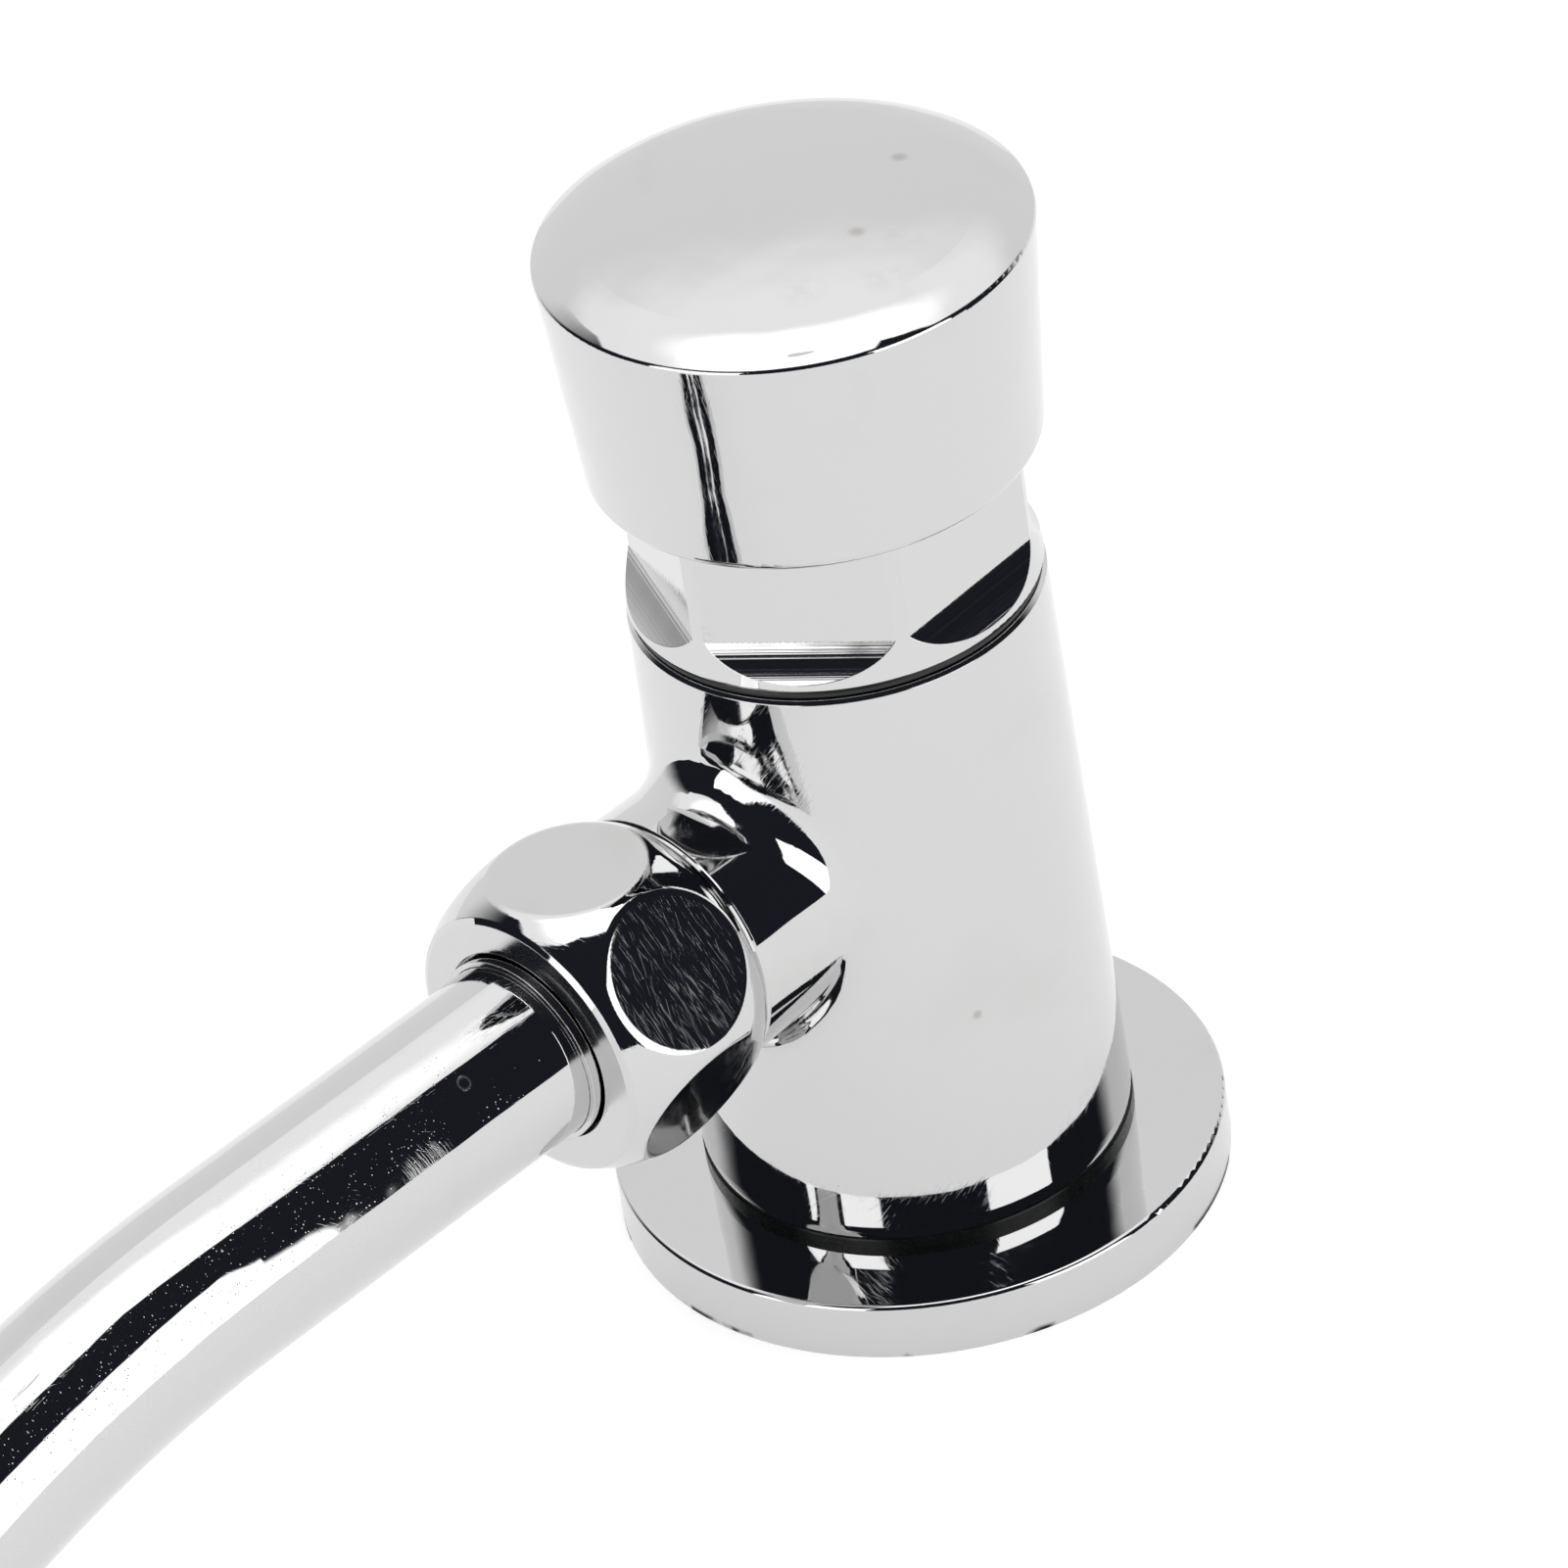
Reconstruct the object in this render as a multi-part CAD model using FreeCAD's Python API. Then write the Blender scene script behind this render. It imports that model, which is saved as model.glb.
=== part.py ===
import FreeCAD, Part
import math
import os

# Exposed self-closing flush valve for a urinal, with its rosette, union nut and bent flush pipe.
# Frame: the origin is the centre of the rosette's back face, in the plane of the wall.
# +Z runs along the valve's axis to the push button, and -X along the outlet to the flush pipe.
# All lengths are in millimetres.

os.makedirs("parts", exist_ok=True)

V = FreeCAD.Vector
ORIGIN = V(0, 0, 0)
Z_AXIS = V(0, 0, 1)
Y_AXIS = V(0, 1, 0)

# Clearances that the fits share
thread_clearance = 0.03
sliding_clearance = 0.05
pipe_clearance = 0.06
seal_clearance = 0.02
open_gap = 0.3
stop_gap = 0.2

# How far a cutting shape runs past the metal, and how near two points are the same one
cut_overrun = 1.0
same_point = 1e-7
seam_tolerance = 0.01

# How far the button is pressed in
press_travel = 7.0

# Rosette, and the rubber ring between it and the body
rosette_r = 30.0
rosette_height = 6.0
rosette_wall = 1.0
rosette_edge_r = 0.5
foot_ring_bore_r = 12.0
foot_ring_thickness = 0.9
foot_z = rosette_height + foot_ring_thickness

# Body: a slender cone with a boss for the outlet
foot_r = 21.1
shoulder_r = 19.8
body_height = 62.3
body_edge = 0.35
foot_roll_r = 6.0
foot_roll_height = 1.7
outlet_height = 37.6
boss_r = 13.1
boss_reach = 28.2
boss_fillet = 4.5
outlet_bore_r = 8.0
outlet_thread_r = 12.0
outlet_thread_length = 10.8
pipe_socket_depth = 6.0
socket_mouth = 1.6
chamber_r = 16.0
chamber_floor_drop = 10.5
inlet_chamber_r = 11.0
inlet_thread_depth = 10.0
holder_passage_length = 2.1
body_top_z = foot_z + body_height
outlet_z = foot_z + outlet_height
outlet_end = boss_reach + outlet_thread_length
chamber_floor_z = outlet_z - chamber_floor_drop
holder_passage_z = foot_z + inlet_thread_depth

# Inlet nipple with its gasket and strainer
inlet_thread_r = 10.48
nipple_reach = 15.0
nipple_neck_r = 9.6
nipple_neck_low_z = 1.0
nipple_neck_rise = 5.0
nipple_bore_r = 6.0
nipple_top_bore_r = 7.6
nipple_top_bore_depth = 4.9
nipple_key_flats = 12.4
nipple_end_chamfer = 1.0
gasket_thickness = 1.0
strainer_pocket_r = 8.0
strainer_pocket_depth = 4.0
strainer_rim = 1.0
strainer_rim_height = 1.2
strainer_plate = 0.5
strainer_hole_r = 0.5
strainer_hole_pitch = 1.6
nipple_neck_high_z = nipple_neck_low_z + nipple_neck_rise
nipple_top_z = holder_passage_z - gasket_thickness

# Bonnet and its sealing ring
bonnet_thread_r = 17.0
bonnet_thread_length = 10.0
bonnet_rim_inset = 0.1
bonnet_r = 19.05
bonnet_flare_height = 3.9
flare_edge_r = 0.3
bonnet_height = 23.8
bonnet_flats = 33.7
bonnet_flat_turn = 33.5
bonnet_ledge_rise = 3.75
bonnet_ledge_slope = 60.0
bonnet_ledge_dish_r = 9.0
bonnet_wall = 2.25
web_rise = 9.8
web_thickness = 4.0
guide_wall = 3.0
seam_height = 1.0
seam_depth = 1.25
seam_top_z = body_top_z + seam_height
bonnet_low_z = body_top_z - bonnet_thread_length
bonnet_top_z = seam_top_z + bonnet_height
bonnet_ledge_z = seam_top_z + bonnet_ledge_rise
bonnet_rim_r = shoulder_r - bonnet_rim_inset
bonnet_shoulder_r = bonnet_rim_r - seam_depth
seam_ring_cord_r = seam_height / 2 - seal_clearance
web_low_z = seam_top_z + web_rise
web_top_z = web_low_z + web_thickness
spring_well_r = bonnet_flats / 2 - bonnet_wall

# Push button
cap_rim_r = 23.2
cap_mouth_r = 21.5
cap_mouth_rise = 14.5
cap_height = 23.1
cap_crown = 1.1
cap_crown_r = 18.2
cap_shoulder_r = 10.65
cap_wall = 1.3
cap_top_wall = 2.6
cap_edge_r = 0.5
cap_mouth_edge_r = 1.2
cap_boss_wall = 2.5
cap_boss_length = 7.2
cap_mouth_z = seam_top_z + cap_mouth_rise
cap_rim_z = cap_mouth_z + cap_height
cap_inner_top_z = cap_rim_z - cap_top_wall
cap_boss_low_z = cap_inner_top_z - cap_boss_length

# Turned-down faces of the plain hexagon nuts, as a share of the flats, and their angle in degrees
nut_face_share = 0.97
nut_face_angle = 30.0

# Spindle with its lock nut and retaining clip
spindle_r = 3.0
spindle_hold = 5.0
lock_nut_flats = 10.0
lock_nut_height = 3.0
clip_width = 2.8
clip_thickness = 0.9
clip_groove_depth = 0.6
clip_slot = 3.6
spindle_top_z = cap_boss_low_z + spindle_hold
cap_boss_r = spindle_r + cap_boss_wall
guide_boss_r = spindle_r + guide_wall
lock_nut_low_z = cap_boss_low_z - lock_nut_height
guide_top_z = lock_nut_low_z - press_travel - stop_gap
clip_groove_r = spindle_r - clip_groove_depth

# Springs
button_spring_r = 9.0
button_spring_wire_r = 0.6
button_spring_turns = 7
valve_spring_r = 9.2
valve_spring_wire_r = 0.55
valve_spring_turns = 7

# Timing cartridge and its cover
seat_bore_r = 7.0
seat_lip = 0.8
seat_spigot_length = 3.2
seat_flange_height = 2.4
cage_bore_r = 11.0
cage_wall = 2.2
window_margin = 1.2
window_width = 14.0
chamber_flange_height = 4.8
timing_bore_r = 12.0
timing_wall = 1.0
timing_rise = 9.2
timing_end_play = 1.0
bleed_groove_r = 0.35
cover_skirt = 3.8
cover_wall = 1.37
cover_thickness = 2.8
cover_room = 0.4
seat_ring_cord_r = 0.68
chamber_ring_cord_r = 0.78
spindle_ring_cord_r = 0.75
ring_groove_play = 0.12
seat_z = chamber_floor_z - seat_spigot_length - seat_lip
seat_flange_top_z = chamber_floor_z + seat_flange_height
cage_r = cage_bore_r + cage_wall
chamber_flange_z = bonnet_low_z - chamber_flange_height
timing_cylinder_r = timing_bore_r + timing_wall
timing_top_z = bonnet_low_z + timing_rise
cover_skirt_bore_r = timing_cylinder_r + thread_clearance
cover_r = cover_skirt_bore_r + cover_wall
bonnet_bore_r = cover_r + cover_room

# Piston, valve stem and seat washer
piston_play = 0.4
piston_headroom = 1.2
piston_height = 3.8
piston_hub_wall = 2.5
piston_hub_length = 3.0
lip_seal_width = 2.4
lip_seal_height = 2.6
lip_seal_cut = 0.7
lip_seal_cut_depth = 1.56
tip_socket_depth = 0.9
stem_r = 2.5
stem_hold = 2.4
stem_collar_width = 1.5
stem_collar_height = 1.5
washer_r = 8.9
washer_height = 3.0
holder_wall = 0.3
holder_base = 2.0
holder_rim = 1.4
stem_nut_flats = 8.0
stem_nut_height = 2.7
piston_r = timing_bore_r - piston_play
piston_top_z = timing_top_z - piston_headroom
piston_low_z = piston_top_z - piston_height
timing_bore_low_z = piston_low_z - press_travel - timing_end_play
piston_hub_r = stem_r + piston_hub_wall
lip_seal_bore_r = timing_bore_r - lip_seal_width
tip_socket_r = spindle_r + open_gap + sliding_clearance
tip_socket_z = piston_top_z - tip_socket_depth
spindle_low_z = tip_socket_z + open_gap
stem_collar_r = stem_r + stem_collar_width
washer_low_z = seat_z - washer_height
holder_low_z = washer_low_z - holder_base
holder_r = washer_r + holder_wall
holder_passage_r = holder_r + open_gap
stem_nut_low_z = holder_low_z - stem_nut_height

# Union nut, clamp ring and pipe seal, measured along the outlet from the valve's axis
nut_length = 18.3
nut_flats = 28.4
nut_flat_spread = 28.1
nut_roll_share = 0.95
nut_flat_turn = 32.5
nut_front_wall = 3.0
nut_edge = 0.4
clamp_collar_wall = 0.55
clamp_ring_stand_out = 1.1
clamp_flange_height = 2.0
pipe_seal_inset = 0.3

# Flush pipe: straight, a wide bend to the wall, a tighter bend back and a straight end
pipe_r = 9.0
pipe_wall = 1.0
pipe_straight = 54.0
pipe_bend_r = 119.0
pipe_bend_turn = 32.0
pipe_return_r = 45.0
pipe_end_leg = 45.0
pipe_end_chamfer = 0.3
pipe_start = outlet_end - pipe_socket_depth
pipe_bend_start = pipe_start + pipe_straight
nut_crown_r = nut_flats / 2 / math.cos(math.radians(nut_flat_spread))
nut_start = boss_reach + stop_gap
nut_end = nut_start + nut_length
clamp_ring_r = pipe_r + clamp_collar_wall
clamp_flange_r = outlet_thread_r - open_gap
pipe_seal_r = clamp_flange_r - pipe_seal_inset
nut_mouth_r = clamp_ring_r + open_gap


def turned(*steps):
    """Solid of revolution about Z. A step is a corner (r, z), or (mid r, mid z, r, z) for an arc."""
    edges = []
    last = V(steps[0][0], 0, steps[0][1])
    for step in steps[1:] + steps[:1]:
        end = V(step[-2], 0, step[-1])
        if len(step) == 4:
            edges.append(Part.Arc(last, V(step[0], 0, step[1]), end).toShape())
        elif last.distanceToPoint(end) > same_point:
            edges.append(Part.LineSegment(last, end).toShape())
        last = end
    return Part.Face(Part.Wire(edges)).revolve(ORIGIN, Z_AXIS, 360)


def tube(inner_r, outer_r, low, high):
    """Plain ring about Z."""
    return turned((inner_r, low), (outer_r, low), (outer_r, high), (inner_r, high))


def rod(r, low, high):
    """Plain cylinder about Z."""
    return Part.makeCylinder(r, high - low, V(0, 0, low))


def hexagon(flats, low, high, turn=0.0):
    """Hexagonal prism about Z, with one flat's normal at the given turn from +X in degrees."""
    corner_r = flats / 2 / math.cos(math.radians(30))
    corners = []
    for k in range(7):
        angle = math.radians(turn + 30 + 60 * k)
        corners.append(V(corner_r * math.cos(angle), corner_r * math.sin(angle), low))
    return Part.Face(Part.makePolygon(corners)).extrude(V(0, 0, high - low))


def sealing_ring(centre_r, z, cord_r):
    """Round rubber ring about Z."""
    return Part.makeTorus(centre_r, cord_r, V(0, 0, z), Z_AXIS)


def hexagon_nut(flats, bore_r, low, high):
    """Plain hexagon nut with both faces turned down at the corners."""
    corner_r = flats / 2 / math.cos(math.radians(30))
    face_r = flats / 2 * nut_face_share
    drop = (corner_r - face_r) * math.tan(math.radians(nut_face_angle))
    cone = turned((bore_r, low), (face_r, low), (corner_r, low + drop),
                  (corner_r, high - drop), (face_r, high), (bore_r, high))
    return hexagon(flats, low, high).common(cone)


def along_outlet(shape):
    """Turns a shape made along Z so that its Z becomes the way out along the outlet's axis."""
    placed = shape.copy()
    placed.rotate(ORIGIN, Y_AXIS, -90)
    placed.translate(V(0, 0, outlet_z))
    return placed


def body_r(z):
    """Outer radius of the body's cone at a height."""
    return foot_r + (shoulder_r - foot_r) * (z - foot_z) / (body_top_z - foot_z)


def arc_between(start, corner, end):
    """Arc that leaves start towards corner and reaches end from it."""
    middle = (start + end) * 0.5
    half_chord = (end - start).Length / 2
    angle = math.acos(min(1.0, half_chord / (corner - start).Length))
    rise = math.tan(angle / 2) / math.tan(angle)
    return Part.Arc(start, middle + (corner - middle) * rise, end).toShape()


def coil_spring(coil_r, wire_r, low, high, turns):
    """Round wire wound about Z between two heights, on pairs of arcs of a quarter turn."""
    rise = high - low - 2 * wire_r
    steps = 4 * turns
    slope = rise / (2 * math.pi * turns)
    points = []
    ways = []
    for k in range(steps + 1):
        angle = math.pi / 2 * k
        points.append(V(coil_r * math.cos(angle), coil_r * math.sin(angle), low + wire_r + rise * k / steps))
        ways.append(V(-coil_r * math.sin(angle), coil_r * math.cos(angle), slope).normalize())
    edges = []
    for k in range(steps):
        span = points[k + 1] - points[k]
        ahead = span.dot(ways[k] + ways[k + 1])
        spread = 2 * (1 - ways[k].dot(ways[k + 1]))
        reach = (math.sqrt(ahead ** 2 + spread * span.dot(span)) - ahead) / spread
        first = points[k] + ways[k] * reach
        second = points[k + 1] - ways[k + 1] * reach
        joint = (first + second) * 0.5
        edges.append(arc_between(points[k], first, joint))
        edges.append(arc_between(joint, second, points[k + 1]))
    section = Part.Wire([Part.makeCircle(wire_r, points[0], ways[0])])
    sweep = Part.BRepOffsetAPI.MakePipeShell(Part.Wire(edges))
    sweep.add(section)
    sweep.build()
    sweep.makeSolid()
    print("spring gap between turns", round(rise / turns - 2 * wire_r, 2))
    return sweep.shape()


def make_body():
    """Cone that rolls in a little at its foot, with the outlet's boss and spigot."""
    lean = math.atan((foot_r - shoulder_r) / body_height)
    roll_r = body_r(foot_z + foot_roll_height) - foot_roll_r * math.cos(lean)
    roll_z = foot_z + foot_roll_height - foot_roll_r * math.sin(lean)
    low_turn = math.asin((foot_z - roll_z) / foot_roll_r)
    mid_turn = (low_turn + lean) / 2
    cone = turned((0, foot_z), (roll_r + foot_roll_r * math.cos(low_turn), foot_z),
                  (roll_r + foot_roll_r * math.cos(mid_turn), roll_z + foot_roll_r * math.sin(mid_turn),
                   body_r(foot_z + foot_roll_height), foot_z + foot_roll_height),
                  (body_r(body_top_z - body_edge), body_top_z - body_edge),
                  (shoulder_r - body_edge, body_top_z), (0, body_top_z))
    boss = turned((0, 0), (boss_r, 0), (boss_r, boss_reach - body_edge), (boss_r - body_edge, boss_reach),
                  (0, boss_reach))
    outside = cone.fuse(along_outlet(boss))
    seam = [edge for edge in outside.Edges if on_boss_root(edge)]
    outside = outside.makeFillet(boss_fillet, seam)
    spigot = turned((0, 0), (outlet_thread_r, 0), (outlet_thread_r, outlet_end - body_edge),
                    (outlet_thread_r - body_edge, outlet_end), (0, outlet_end))
    outside = outside.fuse(along_outlet(spigot))
    passage_top_z = holder_passage_z + holder_passage_length
    inlet_bore_r = inlet_thread_r + thread_clearance
    bonnet_thread_bore_r = bonnet_thread_r + thread_clearance
    chamber = turned((0, foot_z), (inlet_bore_r, foot_z), (inlet_bore_r, holder_passage_z),
                     (holder_passage_r, holder_passage_z), (holder_passage_r, passage_top_z),
                     (inlet_chamber_r, passage_top_z + inlet_chamber_r - holder_passage_r),
                     (inlet_chamber_r, chamber_floor_z), (chamber_r, chamber_floor_z),
                     (chamber_r, bonnet_low_z - open_gap), (bonnet_thread_bore_r, bonnet_low_z - open_gap),
                     (bonnet_thread_bore_r, body_top_z), (0, body_top_z))
    socket_r = pipe_r + pipe_clearance
    outlet = turned((0, 0), (outlet_bore_r, 0), (outlet_bore_r, pipe_start), (socket_r, pipe_start),
                    (socket_r, outlet_end - socket_mouth), (socket_r + socket_mouth, outlet_end),
                    (0, outlet_end))
    return outside.cut(chamber).cut(along_outlet(outlet)).removeSplitter()


def on_boss_root(edge):
    """True for an edge where the boss meets the cone."""
    middle = edge.valueAt((edge.FirstParameter + edge.LastParameter) / 2)
    from_outlet = math.hypot(middle.y, middle.z - outlet_z)
    from_axis = math.hypot(middle.x, middle.y)
    on_boss = abs(from_outlet - boss_r) < seam_tolerance
    return on_boss and abs(from_axis - body_r(middle.z)) < seam_tolerance


def make_rosette():
    """Pressed cover plate, open at the back."""
    inner_r = rosette_r - rosette_wall
    ceiling = rosette_height - rosette_wall
    hole_r = inlet_thread_r + open_gap
    bend = rosette_edge_r * (1 - math.sqrt(0.5))
    return turned((hole_r, rosette_height), (rosette_r - rosette_edge_r, rosette_height),
                  (rosette_r - bend, rosette_height - bend, rosette_r, rosette_height - rosette_edge_r),
                  (rosette_r, 0), (inner_r, 0), (inner_r, ceiling), (hole_r, ceiling))


def make_foot_ring():
    return tube(foot_ring_bore_r, foot_r, rosette_height, foot_z)


def make_inlet_nipple():
    """Threaded tube with a hexagon socket for the fitter's key and a pocket for the strainer."""
    low = -nipple_reach
    tip_r = inlet_thread_r - nipple_end_chamfer
    outside = turned((0, low), (tip_r, low), (inlet_thread_r, low + nipple_end_chamfer),
                     (inlet_thread_r, nipple_neck_low_z), (nipple_neck_r, nipple_neck_low_z),
                     (nipple_neck_r, nipple_neck_high_z), (inlet_thread_r, nipple_neck_high_z),
                     (inlet_thread_r, nipple_top_z - body_edge), (inlet_thread_r - body_edge, nipple_top_z),
                     (0, nipple_top_z))
    pocket_z = low + strainer_pocket_depth
    counterbore_z = nipple_top_z - nipple_top_bore_depth
    inside = turned((0, low), (strainer_pocket_r, low), (strainer_pocket_r, pocket_z),
                    (nipple_bore_r, pocket_z),
                    (nipple_bore_r, counterbore_z), (nipple_top_bore_r, counterbore_z),
                    (nipple_top_bore_r, nipple_top_z), (0, nipple_top_z))
    return outside.cut(inside).cut(hexagon(nipple_key_flats, nipple_neck_low_z, counterbore_z))


def make_nipple_gasket():
    return tube(nipple_top_bore_r, inlet_thread_r - sliding_clearance, nipple_top_z, holder_passage_z)


def make_inlet_strainer():
    """Stamped sieve in a rim, pressed into the nipple's mouth."""
    seat = strainer_pocket_depth - nipple_reach
    rim_r = strainer_pocket_r - thread_clearance
    rim = tube(rim_r - strainer_rim, rim_r, seat - strainer_rim_height, seat)
    sieve = rod(rim_r, seat - strainer_plate, seat)
    field_r = rim_r - strainer_rim - strainer_hole_r
    row_step = strainer_hole_pitch * math.sqrt(3) / 2
    rows = int(field_r / row_step)
    holes = []
    for row in range(-rows, rows + 1):
        shift = strainer_hole_pitch / 2 * (row % 2)
        count = int(2 * field_r / strainer_hole_pitch) + 1
        for column in range(-count, count + 1):
            x = shift + column * strainer_hole_pitch
            y = row * row_step
            if math.hypot(x, y) < field_r:
                foot = V(x, y, seat - strainer_plate)
                holes.append(Part.makeCylinder(strainer_hole_r, strainer_plate, foot))
    return sieve.cut(holes).fuse(rim).removeSplitter()


def make_bonnet():
    """Screwed head of the valve, with spanner flats above the seam."""
    flare_top_z = seam_top_z + bonnet_flare_height
    bend = flare_edge_r * (1 - math.sqrt(0.5))
    outside = turned((0, bonnet_low_z), (bonnet_thread_r - body_edge, bonnet_low_z),
                     (bonnet_thread_r, bonnet_low_z + body_edge), (bonnet_thread_r, body_top_z),
                     (bonnet_shoulder_r, body_top_z), (bonnet_shoulder_r, seam_top_z),
                     (bonnet_rim_r - flare_edge_r, seam_top_z),
                     (bonnet_rim_r - bend, seam_top_z + bend, bonnet_rim_r, seam_top_z + flare_edge_r),
                     (bonnet_r, flare_top_z),
                     (bonnet_r, bonnet_top_z - body_edge), (bonnet_r - body_edge, bonnet_top_z),
                     (0, bonnet_top_z))
    outside = outside.cut(spanner_cuts())
    inside = turned((0, bonnet_low_z), (bonnet_bore_r, bonnet_low_z), (bonnet_bore_r, web_low_z),
                    (0, web_low_z))
    well = turned((guide_boss_r, web_top_z), (spring_well_r, web_top_z), (spring_well_r, bonnet_top_z),
                  (0, bonnet_top_z), (0, guide_top_z), (guide_boss_r, guide_top_z))
    guide_hole = rod(spindle_r + sliding_clearance, web_low_z, guide_top_z)
    return outside.cut(inside).cut(well).cut(guide_hole)


def spanner_cuts():
    """Six flats, each ending below in a dished ledge that runs down and out."""
    flat_r = bonnet_flats / 2
    out_r = bonnet_rim_r + cut_overrun
    width = bonnet_rim_r
    root_turn = math.radians(bonnet_ledge_slope)
    end_turn = math.asin(math.sin(root_turn) - (out_r - flat_r) / bonnet_ledge_dish_r)
    mid_turn = (root_turn + end_turn) / 2
    dish_r = flat_r + bonnet_ledge_dish_r * math.sin(root_turn)
    dish_z = bonnet_ledge_z + bonnet_ledge_dish_r * math.cos(root_turn)
    root = V(flat_r, -width, bonnet_ledge_z)
    middle = V(dish_r - bonnet_ledge_dish_r * math.sin(mid_turn), -width,
               dish_z - bonnet_ledge_dish_r * math.cos(mid_turn))
    end = V(out_r, -width, dish_z - bonnet_ledge_dish_r * math.cos(end_turn))
    sides = Part.makePolygon([end, V(out_r, -width, bonnet_top_z), V(flat_r, -width, bonnet_top_z), root])
    outline = Part.Wire([Part.Arc(root, middle, end).toShape()] + sides.Edges)
    wedge = Part.Face(outline).extrude(V(0, 2 * width, 0))
    cuts = []
    for k in range(6):
        cut = wedge.copy()
        cut.rotate(ORIGIN, Z_AXIS, bonnet_flat_turn + 60 * k)
        cuts.append(cut)
    return cuts


def make_bonnet_ring():
    centre_r = bonnet_shoulder_r + seal_clearance + seam_ring_cord_r
    return sealing_ring(centre_r, body_top_z + seam_height / 2, seam_ring_cord_r)


def make_button_cap():
    """Hollow cone with a boss inside for the spindle, and a slight crown that rolls over to the rim."""
    taper = (cap_rim_r - cap_mouth_r) / (cap_rim_z - cap_mouth_z)
    bend = cap_mouth_edge_r * (1 - math.sqrt(0.5))
    edge_r = cap_rim_r - cap_edge_r
    edge_z = cap_rim_z - cap_edge_r
    crown_ball_r = (cap_crown_r ** 2 + cap_crown ** 2) / (2 * cap_crown)
    crown_turn = math.asin(cap_crown_r / crown_ball_r)
    shoulder_r = cap_crown_r - cap_shoulder_r * math.sin(crown_turn)
    rim_turn = math.asin((edge_r - shoulder_r) / (cap_shoulder_r - cap_edge_r))
    shoulder_z = edge_z - (cap_shoulder_r - cap_edge_r) * math.cos(rim_turn)
    crown_z = shoulder_z + cap_shoulder_r * math.cos(crown_turn) - crown_ball_r * math.cos(crown_turn)
    edge_turn = (math.radians(90) + rim_turn) / 2
    shoulder_turn = (rim_turn + crown_turn) / 2

    def on_arc(centre_r, centre_z, r, turn):
        return centre_r + r * math.sin(turn), centre_z + r * math.cos(turn)

    outside = turned((0, cap_mouth_z), (cap_mouth_r - cap_mouth_edge_r, cap_mouth_z),
                     (cap_mouth_r - bend, cap_mouth_z + bend, cap_mouth_r, cap_mouth_z + cap_mouth_edge_r),
                     (cap_rim_r, edge_z),
                     on_arc(edge_r, edge_z, cap_edge_r, edge_turn)
                     + on_arc(edge_r, edge_z, cap_edge_r, rim_turn),
                     on_arc(shoulder_r, shoulder_z, cap_shoulder_r, shoulder_turn)
                     + on_arc(shoulder_r, shoulder_z, cap_shoulder_r, crown_turn),
                     on_arc(0, crown_z, crown_ball_r, crown_turn / 2) + (0, crown_z + crown_ball_r))
    mouth_bore_r = cap_mouth_r - cap_wall
    top_bore_r = mouth_bore_r + taper * (cap_inner_top_z - cap_mouth_z)
    inside = turned((0, cap_mouth_z), (mouth_bore_r, cap_mouth_z), (top_bore_r, cap_inner_top_z),
                    (cap_boss_r, cap_inner_top_z), (cap_boss_r, cap_boss_low_z), (0, cap_boss_low_z))
    spindle_hole = rod(spindle_r + thread_clearance, cap_boss_low_z, spindle_top_z + open_gap)
    return outside.cut(inside).cut(spindle_hole)


def make_spindle():
    groove_low_z = web_low_z - clip_thickness - sliding_clearance
    groove_high_z = web_low_z + sliding_clearance
    return turned((0, spindle_low_z), (spindle_r - body_edge, spindle_low_z),
                  (spindle_r, spindle_low_z + body_edge),
                  (spindle_r, groove_low_z), (clip_groove_r, groove_low_z), (clip_groove_r, groove_high_z),
                  (spindle_r, groove_high_z), (spindle_r, spindle_top_z - body_edge),
                  (spindle_r - body_edge, spindle_top_z), (0, spindle_top_z))


def make_spindle_clip():
    """Snap ring under the bonnet's web, which keeps the button from coming off."""
    low = web_low_z - clip_thickness
    inner_r = clip_groove_r + thread_clearance
    ring = tube(inner_r, inner_r + clip_width, low, web_low_z)
    slot = Part.makeBox(inner_r + clip_width, clip_slot, clip_thickness, V(0, -clip_slot / 2, low))
    return ring.cut(slot)


def make_lock_nut():
    return hexagon_nut(lock_nut_flats, spindle_r + thread_clearance, lock_nut_low_z, cap_boss_low_z)


def make_button_spring():
    return coil_spring(button_spring_r, button_spring_wire_r, web_top_z, cap_inner_top_z, button_spring_turns)


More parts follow.
